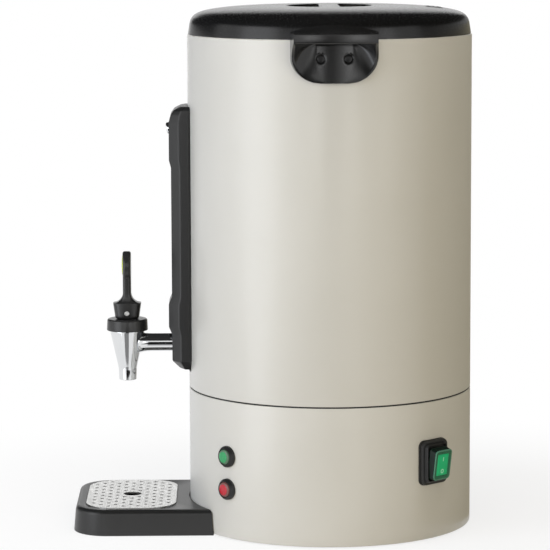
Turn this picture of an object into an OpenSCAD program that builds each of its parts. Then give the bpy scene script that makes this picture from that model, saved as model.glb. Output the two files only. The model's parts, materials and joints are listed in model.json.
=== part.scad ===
// Electric coffee urn of the percolator kind, in millimetres.
// The origin is on the axis of the round body, on the surface that the urn stands on.
// +Z is up and the tap is at the front, towards -Y.

/* [Body] */
// Outer diameter of the base and the shell
body_d = 230; // [228:1:260]
// Thickness of the sheet that the base and the shell are rolled from
body_wall = 1.2; // [0.8:0.1:2]
// Gap between the base skirt and the surface below it
skirt_gap = 1; // [0.5:0.5:3]
// Height of the base housing
base_h = 110.5; // [108:0.5:130]
// Thickness of the gasket that shows as the dark seam
seam_h = 1.2; // [0.8:0.1:3]
// How far the seam gasket is set back from the outside
seam_setback = 0.8; // [0.2:0.1:2]
// Height of the outer shell
shell_h = 286.5; // [280:0.5:320]
// Width of the inward flanges on the base and at the foot of the shell
flange_w = 14; // [10:1:18]

/* [Tank] */
// Gap between the outside of the shell and the outside of the tank
tank_gap = 14; // [12:0.5:16]
// Thickness of the tank wall
tank_wall = 1; // [0.8:0.1:1.5]
// Height of the tank floor above the foot of the shell
tank_lift = 6.3; // [5:0.1:9]
// Width of the rim that hangs the tank on the shell
tank_rim_w = 11; // [8:0.5:12]
// Thickness of the heat plate under the tank
heat_plate_t = 3; // [2:0.5:5]
// Diameter of the heat plate
heat_plate_d = 144; // [130:2:160]
// Diameter of the heating element's ring
element_ring_d = 104; // [98:1:116]
// Diameter of the heating element's rod
element_rod_d = 8; // [6:0.5:9]
// Diameter of the thermostat
thermostat_d = 22; // [16:1:26]
// Height of the thermostat
thermostat_h = 9; // [6:1:12]
// Diameter of the boil-dry cut-out
cutout_d = 16; // [12:1:20]
// Height of the boil-dry cut-out
cutout_h = 8; // [6:1:12]

/* [Base fittings] */
// Height of the rubber foot ring
foot_h = 6; // [5:0.5:9]
// How far the middle of the foot ring is set in from the outside of the base
foot_inset = 24; // [20:0.5:30]
// Width of the foot ring
foot_w = 14; // [8:1:18]
// Thickness of the base plate
base_plate_t = 1.5; // [1:0.1:2.5]
// Diameter of the tie rod between base plate and heat plate
tie_rod_d = 6; // [5:0.5:8]
// Thickness of the tie nut
tie_nut_h = 3.5; // [3:0.5:4.5]
// Diameter of the base screws
base_screw_d = 4; // [3:0.5:5]
// Length of the terminal block
terminal_l = 44; // [30:1:50]
// Diameter of the wires
wire_d = 2.8; // [2:0.1:3.2]
// Direction of the cord gland, in degrees from the right-hand side towards the rear
gland_azimuth = 135; // [130:1:150]
// Height of the cord gland's axis
gland_z = 41; // [38:1:60]
// Bore of the cord gland
gland_bore_d = 8.4; // [6:0.1:9]
// How far the cord gland stands out
gland_reach = 18; // [14:1:24]

/* [Lid] */
// Height of the lid above the tank rim
lid_h = 21.5; // [20:0.5:26]
// How far the lid's lower edge is set in from the outside of the shell
lid_setback = 0.7; // [0.5:0.1:2]
// Radius of the lid's rounded shoulder
lid_shoulder_r = 11; // [8:0.5:13]
// Rise of the lid's top from the shoulder to the middle
lid_crown = 3; // [2:0.5:6]
// Draft of the lid's side wall
lid_draft = 1.6; // [0.8:0.1:2.4]
// Wall thickness of the lid
lid_wall = 2.6; // [2:0.1:3.5]
// Depth of the lid's plug below the rim
plug_h = 12; // [8:1:16]
// Clearance between the plug and the tank
plug_clear = 1; // [0.5:0.1:2]
// Diameter of the finger well
grip_d = 68; // [60:1:80]
// Width of the bar across the finger well
grip_bar_w = 16.5; // [12:0.5:20]
// Depth of the finger well
grip_depth = 14; // [10:0.5:15]
// Thickness of the lid seal
lid_seal_h = 1.8; // [1.2:0.1:2.4]

/* [Percolator] */
// Diameter of the filter basket
basket_d = 170; // [150:1:180]
// Height of the filter basket
basket_h = 75; // [50:1:78]
// Sheet thickness of the basket
basket_wall = 0.8; // [0.6:0.1:1.2]
// Height of the basket floor above the tank floor
basket_lift = 169; // [150:1:172]
// Diameter of the riser tube
riser_d = 12; // [10:0.5:14]
// Bore of the riser tube
riser_bore_d = 10; // [8:0.5:11]
// How far the riser tube stands above the basket
riser_top = 15; // [8:1:18]
// Diameter of the pump foot
pump_foot_d = 56; // [40:1:70]
// Height of the pump foot
pump_foot_h = 14; // [10:1:20]

/* [Gauge panel] */
// Width of the gauge panel
panel_w = 46; // [44:1:56]
// Height of the gauge panel's lower end
panel_z = 127.5; // [124:0.5:130]
// Height of the gauge panel
panel_h = 214; // [210:1:220]
// How far the middle of the panel stands out from the shell
panel_depth = 13.6; // [13.2:0.1:18]
// How much further the upper boss stands out
panel_boss = 1.6; // [1:0.1:3]
// How much further the lower boss stands out
panel_lower_boss = 2.6; // [1:0.1:3]
// Corner radius of the panel seen from the front
panel_corner_r = 4; // [3:0.5:14]
// Width of the bevel along each side of the panel
panel_bevel_w = 8; // [5:0.5:10]
// Depth of the bevel along each side of the panel
panel_bevel_d = 6; // [4:0.5:9]
// Wall thickness of the panel
panel_wall = 2; // [1.6:0.1:2.4]
// Outer diameter of the gauge glass
glass_d = 8; // [6:0.5:8]
// Bore of the gauge glass
glass_bore_d = 5.6; // [4:0.2:5.6]
// Width of the gauge window
window_w = 8; // [5:0.5:12]
// Height of the gauge window
window_h = 92; // [60:1:94]
// Diameter of the cap screw's head
cap_d = 9.6; // [8:0.2:11]
// Depth of the cap screw's axis below the panel's upper end
cap_drop = 18.7; // [17.5:0.1:21.5]

/* [Tap] */
// Height of the shank's axis
tap_z = 147.6; // [146:0.2:149]
// Distance from the shell to the tap's axis
tap_reach = 50.5; // [48:0.5:70]
// Outer diameter of the shank
shank_d = 14; // [12:0.5:15]
// Bore of the shank
shank_bore_d = 9; // [6:0.5:9]
// Diameter of the tap body under the bonnet
cone_d = 28.4; // [28:0.2:31]
// Height of the tap body's upper edge above the shank's axis
cone_rise = 10.3; // [8:0.1:12]
// Depth of the cone's lower end below the shank's axis
cone_drop = 21; // [15:0.2:23]
// Diameter of the spout where the cone ends
spout_neck_d = 15; // [14.5:0.1:18]
// Diameter of the spout's outlet
spout_d = 14.4; // [13.5:0.1:16]
// Length of the spout below the cone
spout_h = 9.6; // [8:0.2:22]
// Bore of the spout
spout_bore_d = 10.6; // [9:0.2:11]
// Diameter of the bonnet at its foot
bonnet_d = 33.6; // [33:0.2:40]
// Diameter of the bonnet at its top
bonnet_top_d = 32.6; // [30:0.2:33]
// Height of the bonnet
bonnet_h = 9.4; // [9:0.1:15]
// Diameter of the tap stem
stem_d = 5.2; // [4.5:0.1:6]
// Diameter of the silicone seat cup
seat_d = 14.4; // [12:0.2:15]

/* [Lever] */
// Height of the lever's pin above the bonnet
pin_rise = 5.1; // [5:0.1:7]
// Diameter of the lever's pin
pin_d = 4; // [3:0.2:4.4]
// Front-to-back width of the lever's foot
lever_foot_l = 20.4; // [17:0.2:22]
// Front-to-back width of the lever at its shoulders
lever_shoulder_l = 22.8; // [20:0.2:26]
// Side-to-side width of the lever's foot
lever_foot_w = 18; // [16:0.5:24]
// Height of the shoulders above the pin
lever_shoulder_h = 8; // [7:0.2:12]
// Thickness of the lever's blade
blade_t = 6.8; // [6:0.2:9]
// Width of the blade's round end
blade_w = 23; // [20:0.5:28]
// Width of the blade's neck
blade_neck_w = 14; // [11:0.5:18]
// Height of the lever above the pin
lever_h = 50.2; // [44:0.2:70]
// Diameter of the coloured inset
inset_d = 17; // [12:0.5:18]
// How far the inset stands out of the blade
inset_proud = 0.9; // [0.4:0.1:1.5]

/* [Drip tray] */
// Width of the drip tray
tray_w = 130; // [124:1:150]
// How far the tray reaches from the shell
tray_reach = 94; // [90:1:120]
// Height of the tray
tray_h = 20.5; // [19:0.5:30]
// Corner radius of the tray
tray_corner_r = 28; // [24:1:36]
// How much the tray's walls lean in from its foot to its upper edge
tray_draft = 1.4; // [0.4:0.2:3]
// Radius of the tray's rounded upper edge
tray_fillet = 4; // [2:0.5:5]
// Thickness of the tray's floor
tray_floor = 2.4; // [1.6:0.1:4]
// Running gap between the tray and the base
tray_clear = 0.5; // [0.3:0.1:1]
// Length of the drip grid from front to back
grid_l = 73; // [66:1:74]
// Width of the drip grid
grid_w = 113.6; // [100:0.2:114]
// Thickness of the drip grid
grid_t = 1.3; // [0.8:0.1:1.6]
// Corner radius of the drip grid
grid_corner_r = 25; // [18:1:28]
// Diameter of the drain holes
drain_d = 3.2; // [2:0.1:3.6]
// Half the distance between drain holes in one row
drain_pitch = 6.05; // [5.6:0.05:6.1]
// Diameter of the finger hole in the middle of the grid
finger_hole_d = 14.8; // [12:0.2:15]
// Width of the ledge that carries the grid
ledge_w = 3; // [2:0.5:4]
// Width of the tongue that hooks the tray into the base
tongue_w = 40; // [20:1:60]
// Length of the tongue inside the base
tongue_l = 10; // [6:1:14]

/* [Controls] */
// Direction of the lamps, in degrees from the right-hand side towards the rear
lamp_azimuth = -47; // [-55:1:-40]
// Height of the green lamp
green_lamp_z = 67.2; // [60:0.2:80]
// Height of the red lamp
red_lamp_z = 40.8; // [34:0.2:44]
// Outer diameter of a lamp's bezel
bezel_d = 17; // [15.5:0.5:20]
// How far a lamp's bezel stands out
bezel_reach = 4; // [3:0.5:6]
// Diameter of a lamp's lens
lens_d = 11; // [9:0.5:11.5]
// Direction of the switch, in degrees from the right-hand side towards the rear
switch_azimuth = 43; // [35:1:55]
// Height of the switch's middle
switch_z = 63.3; // [50:0.1:70]
// Width of the switch plate
switch_w = 29; // [28:0.5:32]
// Height of the switch plate
switch_h = 35.5; // [35:0.5:40]
// Thickness of the switch plate
switch_plate_t = 2.4; // [1.6:0.2:3]
// How far the frame round the rocker stands out of the plate
switch_frame_h = 2.6; // [1.5:0.1:3]
// Width of the rocker's boot
boot_w = 19.4; // [15:0.2:20]
// Height of the rocker's boot
boot_h = 26; // [22:0.5:26]
// How far the middle of the boot stands out of the plate
boot_reach = 8.4; // [7:0.2:11]
// Angle that the rocker leans from its middle position
rocker_lean = 8; // [4:0.5:9]

/* [Side handles] */
// Width of a handle at the shell
handle_w = 69; // [60:1:80]
// Width of a handle at its outer edge
handle_tip_w = 64.5; // [56:0.5:76]
// Height of a handle
handle_h = 45; // [42:1:60]
// How far a handle's top stands above the shell
handle_rise = 11.8; // [6:0.2:15]
// How far a handle stands out from the shell
handle_reach = 35; // [30:1:45]
// Thickness of the lip at its outer edge
lip_t = 8; // [6:0.5:10]
// Drop of the lip's upper face from the shell to its outer edge
lip_drop = 5; // [3:0.5:8]
// Thickness of the plate against the shell
handle_plate_t = 3.3; // [3:0.1:5]
// Thickness of the two side walls
gusset_t = 2; // [1.6:0.2:5]
// Corner radius at a handle's lower end
handle_corner_r = 23; // [12:1:24]
// Distance of a handle's screws from its middle
handle_screw_y = 10.6; // [8:0.2:16]
// Height of a handle's screws above its lower end
handle_screw_rise = 19; // [12:0.5:20]
// Diameter of a handle's screws
handle_screw_d = 4; // [3:0.5:5]

/* [Hidden] */
$fn = 96;

// Colours as the photograph shows them
warm_grey = "#cfcabb";
black_plastic = "#303030";
soft_black = "#232323";
chrome = "#d8d8dc";
steel = "#cfcfcf";
lime = "#c8d630";
live_wire = "#8c4a32";
neutral_wire = "#3d5f95";
clear_glass = "#dfeaea";
silicone = "#e2ddd2";
lamp_green = "#1f9a5c";
lamp_red = "#c02a28";
boot_green = "#1e8f60";

// Gaps used all over the urn
seat_gap = 0.2;       // between a moving piece and the flat face that it rests on
running_gap = 0.06;   // round a shaft that turns or slides in its hole
bolt_gap = 0.1;       // round a screw or a pipe that passes a hole
slack = 0.4;          // round a piece that lifts out freely
plate_gap = 0.3;      // round a plate that drops into a housing
overcut = 1;          // how far a cut runs past the face that it opens
wall_cut = 10;        // how far inside a rolled wall a cut or a saddle starts
tip_margin = 1;       // how far the end of a screw stops short of its hole

// Levels of the body, from the bottom up
body_r = body_d / 2;
body_in_r = body_r - body_wall;
base_z = skirt_gap;
seam_z = base_z + base_h;
shell_z = seam_z + seam_h;
rim_z = shell_z + shell_h;
tank_z = shell_z + tank_lift;
tank_floor_z = tank_z + tank_wall;
tank_r = body_r - tank_gap;
tank_in_r = tank_r - tank_wall;
rim_top_z = rim_z + tank_wall;
heat_z = tank_z - heat_plate_t;
base_plate_top = foot_h + base_plate_t;
foot_ring_r = body_r - foot_inset;

// Screws between base plate and base housing
base_screw_azimuths = [0, 120, 240];
base_screw_inset = 9;
base_screw_r = body_r - base_screw_inset;
base_screw_head_d = 7;
base_screw_head_h = 2;
tie_nut_w = 2.8;
lug_w = 14;
lug_l = 14;
lug_h = 10;
vent_count = 10;
vent_l = 22;
vent_w = 4;
vent_from_foot = 22;
vent_r = foot_ring_r - foot_w / 2 - vent_from_foot;

// Heating element and the pieces beside it
element_gap = 0.05;
element_z = heat_z - element_rod_d / 2 - element_gap;
element_gap_angle = 50;
element_start = 150;
element_pin_d = 5;
ferrule_w = 1;
ferrule_h = 9;
element_pin_l = 22;
control_r = 27;
thermostat_azimuth = 70;
cutout_azimuth = 250;
tab_l = 7;
tab_w = 6;
tab_t = 0.8;
tab_gap = 7;
terminal_w = 20;
terminal_h = 18;
terminal_at = [-42, -34];
terminal_poles = 3;
pole_d = 5;
pole_h = 6;
wire_gap = 0.25;
wire_lead = 3;

// Cord gland
gland_hex_r = 12;
gland_hex_l = 5;
gland_barrel_r = 8;
gland_in = 11;
gland_nut_l = 4;
gland_nose_r = 7.2;
gland_step = 2;

// Lid
lid_r = body_r - lid_setback;
lid_z = rim_top_z + seat_gap;
lid_top_z = rim_top_z + lid_h;
lid_side_r = lid_r - lid_draft;
lid_shoulder_z = lid_top_z - lid_crown - lid_shoulder_r;
plug_r = tank_in_r - plug_clear;
plug_wall = 2.4;
plug_z = rim_top_z - plug_h;
seal_z = rim_top_z + seat_gap;
seal_top_z = seal_z + lid_seal_h;
seal_step = 2;
seal_w = 6;
seal_in_r = tank_r + seal_step;
seal_out_r = seal_in_r + seal_w;
web_t = 2.2;
liner_t = 1;
liner_rise = 0.5;
liner_slots = 8;
liner_slot_w = 3.2;
liner_edge = 16;
grip_r = grip_d / 2;
grip_wall = 2.2;
grip_floor_z = lid_top_z - grip_depth;
vent_slots = 3;
vent_slot_l = 16;
vent_slot_w = 1.6;
vent_slot_step = 4;
vent_slot_inset = 30.3;
vent_slot_r = lid_r - vent_slot_inset;

// Percolator
basket_r = basket_d / 2;
basket_z = tank_floor_z + basket_lift;
basket_rim_w = 3;
basket_top_z = basket_z + basket_h;
riser_r = riser_d / 2;
riser_collar_h = 4;
riser_collar_w = 4;
collar_slope = 1;
riser_top_z = basket_top_z + riser_top;
basket_hole_d = 2.6;
hole_pitch = 13.8;
hole_ring_step = 17;
hole_first_r = 25;
hole_edge = 7;
cover_t = 1;
pump_z = tank_floor_z + seat_gap;
pump_slots = 6;
pump_slot_w = 5;
pump_slot_h = 3;
pump_wall = 1.4;
pump_skirt_h = 4;
pump_sleeve_w = 2;
pump_sleeve_h = 4;
pump_seat = 2;
riser_foot_z = pump_z + pump_foot_h - pump_seat;

// Gauge panel, measured outwards from the axis of the body
panel_x = body_r + panel_depth;
panel_boss_x = panel_x + panel_boss;
panel_lower_x = panel_x + panel_lower_boss;
panel_front_x = max(panel_boss_x, panel_lower_x);
panel_top_z = panel_z + panel_h;
cap_z = panel_top_z - cap_drop;
panel_mid_z = panel_z + panel_h / 2;
panel_back_x = body_r - wall_cut;
glass_out = 6;
glass_rise = 4.4;
glass_below_cap = 12.8;
glass_x = body_r + glass_out;
glass_r = glass_d / 2;
glass_z = tap_z + shank_d / 2 + glass_rise;
glass_top_z = cap_z - glass_below_cap;
block_w = 18;
block_edge = 3;
block_head = 5;
block_x = panel_x - panel_wall - bolt_gap;
socket_gap = 0.6;
socket_r = glass_r + socket_gap;
socket_h = 8;
seal_rise = 1;
seal_h = 6;
lower_block_z = tap_z - shank_d / 2 - block_edge;
lower_block_top = glass_z + socket_h;
upper_block_z = glass_top_z - socket_h;
upper_block_top = cap_z + block_head;
window_z = (lower_block_top + upper_block_z) / 2;
window_flat = 0.2;
cap_recess = 1.5;
cap_seat_x = panel_boss_x - cap_recess;
cap_head_h = 3.8;
cap_rim = 1.2;
cap_screw_d = 4;
cap_screw_past = 2;
cap_screw_x = glass_x - cap_screw_past;

// Slopes on the face of the gauge panel: the lower chamfer, the two bosses and the rounded top
chamfer_d = 6.5;
chamfer_h = 7;
boss_slope = 6;
lower_boss_rise = 3;
lower_boss_past = 14;
upper_boss_past = 4;
upper_boss_head = 6;
lower_boss_z = glass_z + lower_boss_rise;
lower_boss_top = lower_block_top + lower_boss_past;
upper_boss_z = upper_block_z - upper_boss_past;
upper_boss_top = cap_z + upper_boss_head;
top_slope_h = 3;
top_slope_d = [2.6, 8];

// Tap, measured outwards from the axis of the body
tap_x = body_r + tap_reach;
shank_r = shank_d / 2;
cone_top_z = tap_z + cone_rise;
cone_foot_z = tap_z - cone_drop;
spout_z = cone_foot_z - spout_h;
collar_step = 1.2;
collar_r = cone_d / 2 - collar_step;
collar_h = 6.5;
collar_wall = 1.4;
tap_wall = 2;
seat_drop = 7.6;
seat_z = tap_z - seat_drop;
ceiling_gap = 0.3;
bonnet_z = cone_top_z;
bonnet_top_z = bonnet_z + bonnet_h;
bonnet_ceiling_z = bonnet_z + collar_h + ceiling_gap;
bonnet_edge = 1.4;
washer_t = 2.4;
washer_w = 4.5;
washer_r = shank_r + washer_w;
nut_h = 7;
nut_w = 6;
nut_r = shank_r + nut_w;
shank_past_nut = 3.6;
shank_end_x = tank_in_r - washer_t - nut_h - shank_past_nut;
port_step = 0.3;
stem_r = stem_d / 2;
cup_h = 8.8;
cup_z = seat_z + seat_gap;
cup_floor = 2;
cup_chamfer = [0.6, 1.2];
cup_wall_h = 3;
cup_shelf = 1;
spring_out = 2.8;
spring_r = stem_r + spring_out;
spring_wire_r = 0.55;
spring_gap = 0.05;
spring_turns = 6;
spring_rings = 10;

// Lever
pin_z = bonnet_top_z + pin_rise;
pin_r = pin_d / 2;
lever_gap = 0.3;
lever_foot_z = lever_gap - pin_rise;
lever_corner_r = 4;
shoulder_r = 8.5;
slot_w = 5.6;
eye_side_gap = 0.3;
eye_w = 2.2;
eye_r = pin_r + eye_w;
eye_t = slot_w - 2 * eye_side_gap;
eye_gap = 0.6;
slot_l = 16;
blade_end_z = lever_h - blade_w / 2;
blade_round = 1.6;
inset_h = 1.6;

// Drip tray
tray_x = body_r + tray_reach;
tray_back_x = 60;
ledge_drop = 0.7;
ledge_z = tray_h - ledge_drop;
grid_z = ledge_z + seat_gap;
grid_out = 47.7;
grid_x = body_r + grid_out;
tongue_z = 8.5;
tongue_h = 5;
tongue_root = 4;
fillet_layer = 0.01;

// Rows of drain holes across the grid: the count in each column out from the middle one
drain_counts = [8, 9, 8, 9, 8, 7];

// Lamps and switch
bezel_r = bezel_d / 2;
bezel_chamfer = [1.6, 2];
barrel_r = 6.4;
barrel_in = 16;
lens_r = lens_d / 2;
lens_in = 2;
lens_out = 1.4;
lamp_nut_r = 9;
lamp_nut_l = 4;
switch_corner_r = 5;
gasket_t = 1;
gasket_show = 0.3;
switch_back_x = body_r + gasket_t;
switch_face_x = switch_back_x + switch_plate_t;
switch_frame_x = switch_face_x + switch_frame_h;
switch_body_w = 20.5;
switch_body_h = 27.5;
switch_body_in = 20;
frame_wall = 1.8;
frame_gap = 0.7;
frame_corner_r = 3;
frame_bore_r = 2;
rock_room = 2.4;
pivot_in = 0.4;
pivot_x = switch_face_x - pivot_in;
boot_x = switch_face_x + boot_reach;
boot_t = 1.6;
boot_corner_r = 2.5;
boot_bore_r = 1.5;
boot_rise = 1.9;
boot_foot_x = switch_face_x + boot_rise;
rocker_pin_r = 1.5;
rocker_gap = 0.3;
hub_h = 6;
hub_in = 1;
tab_step = 6;
ear_wall = 1.5;
ear_t = 1.6;
ear_w = 6.8;
ear_y = boot_w / 2 - boot_t - slack - ear_t / 2;

// Side handles
handle_in_r = body_r + seat_gap;
handle_back_r = body_r - wall_cut;
handle_top_z = rim_z + handle_rise;
handle_z = handle_top_z - handle_h;
handle_tip_r = body_r + handle_reach;
handle_plate_r = handle_in_r + handle_plate_t;
lip_top_z = handle_top_z - lip_drop;
lip_z = lip_top_z - lip_t;
lip_nose = 2;
lip_root = 1.2;
arch_drop = 6;
arch_r = (handle_w * handle_w / 4 + arch_drop * arch_drop) / (2 * arch_drop);
gusset_arc_r = 41.4;
handle_screw_z = handle_z + handle_screw_rise;
screw_head_w = 1;
screw_head_r = handle_screw_d / 2 + screw_head_w;
screw_head_h = 2;
screw_sink = 1.7;
screw_seat_x = handle_plate_r - screw_sink;
screw_past_nut = 2;
handle_nut_h = 3;
handle_nut_w = 2;
handle_nut_r = handle_screw_d / 2 + handle_nut_w;

// Frames: each radial piece is modelled along +X and then turned to its place
module at_azimuth(angle) { rotate([0, 0, angle]) children(); }
module at_front() { at_azimuth(-90) children(); }

// A cylinder along X, from one distance to another
module rod_x(r, x0, x1, z = 0, y = 0) {
    translate([x0, y, z]) rotate([0, 90, 0]) cylinder(r = r, h = x1 - x0);
}

// A hexagonal bar along X
module hex_x(r, x0, x1, z = 0) {
    translate([x0, 0, z]) rotate([0, 90, 0]) cylinder(r = r, h = x1 - x0, $fn = 6);
}

module ring(r_out, r_in, z0, z1) {
    translate([0, 0, z0]) difference() {
        cylinder(r = r_out, h = z1 - z0);
        translate([0, 0, -overcut]) cylinder(r = r_in, h = z1 - z0 + 2 * overcut);
    }
}

module drum(r, z0, z1) { translate([0, 0, z0]) cylinder(r = r, h = z1 - z0, $fn = r > 60 ? 256 : 96); }

// A rectangle with true round corners, centred
module rounded_rect(w, h, r) {
    square([w - 2 * r, h], center = true);
    square([w, h - 2 * r], center = true);
    for (sx = [-1, 1], sy = [-1, 1]) translate([sx * (w / 2 - r), sy * (h / 2 - r)]) circle(r);
}

// A block along X whose section across Y and Z is a rounded rectangle
module pad_x(w, h, r, x0, x1, z = 0) {
    translate([x0, 0, z]) rotate([90, 0, 90]) linear_extrude(x1 - x0) rounded_rect(w, h, r);
}

// A flat outline given in X and Z, as thick as w and centred across Y
module slab_y(w) { translate([0, w / 2, 0]) rotate([90, 0, 0]) linear_extrude(w) children(); }

// A low dome facing +X, on a short cylinder: proud is its height and x its rim
module dome_x(r, x_back, x, proud, z) {
    dome_r = (r * r + proud * proud) / (2 * proud);
    half = asin(r / dome_r);
    translate([0, 0, z]) rotate([0, 90, 0]) rotate_extrude() polygon(concat(
        [[0, x_back], [r, x_back]], arc([0, x + proud - dome_r], dome_r, 90 - half, 90, 6)));
}

// Points of an arc about c, from angle a0 to a1
function arc(c, r, a0, a1, steps = 8) =
    [for (i = [0:steps]) c + r * [cos(a0 + (a1 - a0) * i / steps), sin(a0 + (a1 - a0) * i / steps)]];

// A round tube swept along a path, as one closed skin of triangles
sweep_up = [0.31, 0.52, 0.79];
function unit(v) = v / norm(v);
function path_dir(path, i) = unit(path[min(i + 1, len(path) - 1)] - path[max(i - 1, 0)]);
function tube_ring(p, t, r, sides) =
    let (u = unit(cross(t, sweep_up)), v = cross(t, u))
    [for (k = [0:sides - 1]) p + r * (u * cos(360 * k / sides) + v * sin(360 * k / sides))];
module tube(path, r, sides = 6) {
    last = len(path) - 1;
    points = [for (i = [0:last]) each tube_ring(path[i], path_dir(path, i), r, sides)];
    walls = [for (i = [0:last - 1], k = [0:sides - 1])
        let (a = i * sides + k, b = i * sides + (k + 1) % sides)
        each [[a, a + sides, b], [b, a + sides, b + sides]]];
    start = [for (k = [1:sides - 2]) [0, k, k + 1]];
    end = [for (k = [1:sides - 2]) [last * sides, last * sides + k + 1, last * sides + k]];
    polyhedron(points, concat(walls, start, end));
}

// A smooth path through a few points
function between(a, b, c, d, t) =
    0.5 * (2 * b + (c - a) * t + (2 * a - 5 * b + 4 * c - d) * t * t + (3 * b - a - 3 * c + d) * t * t * t);
function smooth(p, steps = 4) =
    let (n = len(p) - 1)
    concat([for (i = [0:n - 1], s = [0:steps - 1])
        between(p[max(i - 1, 0)], p[i], p[i + 1], p[min(i + 2, n)], s / steps)], [p[n]]);

// Body of the urn

module outer_shell() {
    flange_r = body_r - flange_w;
    top_flange_r = tank_r + slack;
    color(warm_grey) difference() {
        rotate_extrude() polygon([
            [flange_r, shell_z], [body_r, shell_z], [body_r, rim_z], [top_flange_r, rim_z],
            [top_flange_r, rim_z - body_wall], [body_in_r, rim_z - body_wall],
            [body_in_r, shell_z + body_wall], [flange_r, shell_z + body_wall]
        ]);
        at_front() rod_x(shank_r + bolt_gap, body_r - wall_cut, body_r + overcut, tap_z);
        for (side = [0, 180], y = [-1, 1]) at_azimuth(side)
            rod_x(handle_screw_d / 2 + bolt_gap, body_r - wall_cut, body_r + overcut,
                handle_screw_z, y * handle_screw_y);
    }
}

module base_housing() {
    flange_r = body_r - flange_w;
    color(warm_grey) difference() {
        union() {
            rotate_extrude() polygon([
                [body_in_r, base_z], [body_r, base_z], [body_r, seam_z], [flange_r, seam_z],
                [flange_r, seam_z - body_wall], [body_in_r, seam_z - body_wall]
            ]);
            for (a = base_screw_azimuths) at_azimuth(a) intersection() {
                translate([body_r - lug_l, -lug_w / 2, base_plate_top]) cube([lug_l, lug_w, lug_h]);
                drum(body_r - body_wall / 2, 0, seam_z);
            }
        }
        for (a = base_screw_azimuths) at_azimuth(a) translate([base_screw_r, 0, 0])
            drum(base_screw_d / 2 + bolt_gap, base_plate_top - overcut, base_plate_top + lug_h + overcut);
        for (z = [green_lamp_z, red_lamp_z]) at_azimuth(lamp_azimuth)
            rod_x(barrel_r + bolt_gap, body_r - wall_cut, body_r + overcut, z);
        at_azimuth(switch_azimuth) switch_opening();
        at_azimuth(gland_azimuth)
            rod_x(gland_barrel_r + bolt_gap, body_r - wall_cut, body_r + overcut, gland_z);
        at_front() translate([body_r - wall_cut, -tongue_w / 2 - slack, tongue_z - slack])
            cube([wall_cut + overcut, tongue_w + 2 * slack, tongue_h + 2 * slack]);
    }
}

module seam_gasket() {
    color(soft_black) ring(body_r - seam_setback, body_r - flange_w, seam_z, shell_z);
}

module base_plate() {
    color(steel) difference() {
        drum(body_in_r - plate_gap, foot_h, base_plate_top);
        drum(tie_rod_d / 2 + bolt_gap, 0, base_plate_top + overcut);
        for (a = base_screw_azimuths) at_azimuth(a) translate([base_screw_r, 0, 0])
            drum(base_screw_d / 2 + bolt_gap, 0, base_plate_top + overcut);
        for (i = [0:vent_count - 1]) at_azimuth(360 * (i + 0.5) / vent_count)
            translate([vent_r, 0, foot_h - overcut]) linear_extrude(base_plate_t + 2 * overcut)
                square([vent_l, vent_w], center = true);
    }
}

module base_screws() {
    color(steel) for (a = base_screw_azimuths) at_azimuth(a) translate([base_screw_r, 0, 0]) {
        drum(base_screw_head_d / 2, foot_h - base_screw_head_h, foot_h);
        drum(base_screw_d / 2, foot_h - base_screw_head_h, base_plate_top + lug_h - tip_margin);
    }
}

module foot_ring() {
    color(soft_black) ring(foot_ring_r + foot_w / 2, foot_ring_r - foot_w / 2, 0, foot_h);
}

module inner_tank() {
    color(steel) difference() {
        rotate_extrude() polygon([
            [0, tank_z], [tank_r, tank_z], [tank_r, rim_z], [tank_r + tank_rim_w, rim_z],
            [tank_r + tank_rim_w, rim_top_z], [tank_in_r, rim_top_z], [tank_in_r, tank_floor_z],
            [0, tank_floor_z]
        ]);
        at_front() rod_x(shank_r + bolt_gap, tank_in_r - wall_cut, tank_r + overcut, tap_z);
    }
}

// Under the tank

module heat_plate() { color(chrome) drum(heat_plate_d / 2, heat_z, tank_z); }

module heating_element() {
    rod_r = element_rod_d / 2;
    ring_r = element_ring_d / 2;
    color(steel) {
        at_azimuth(element_start) rotate_extrude(angle = 360 - element_gap_angle)
            translate([ring_r, element_z]) circle(rod_r);
        for (a = [element_start, element_start - element_gap_angle]) at_azimuth(a) translate([ring_r, 0, 0]) {
            drum(rod_r + ferrule_w, element_z - ferrule_h, element_z + rod_r);
            drum(element_pin_d / 2, element_z - element_pin_l, element_z);
        }
    }
}

// A round control screwed against the heat plate, with its two tabs
module disc_control(d, h, azimuth) {
    at_azimuth(azimuth) translate([control_r, 0, 0]) {
        drum(d / 2, heat_z - h, heat_z);
        for (s = [-1, 1]) translate([-tab_w / 2, (s * tab_gap - tab_t) / 2, heat_z - h - tab_l])
            cube([tab_w, tab_t, tab_l + overcut]);
    }
}

module thermostat() { color(soft_black) disc_control(thermostat_d, thermostat_h, thermostat_azimuth); }

module boil_dry_cutout() { color(silicone) disc_control(cutout_d, cutout_h, cutout_azimuth); }

module terminal_block() {
    color(silicone) translate([terminal_at[0], terminal_at[1], base_plate_top]) difference() {
        translate([-terminal_l / 2, -terminal_w / 2, 0]) cube([terminal_l, terminal_w, terminal_h]);
        for (i = [0:terminal_poles - 1])
            translate([(i - 1) * terminal_l / terminal_poles, 0, terminal_h - pole_h])
                cylinder(d = pole_d, h = pole_h + overcut);
    }
}

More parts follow.
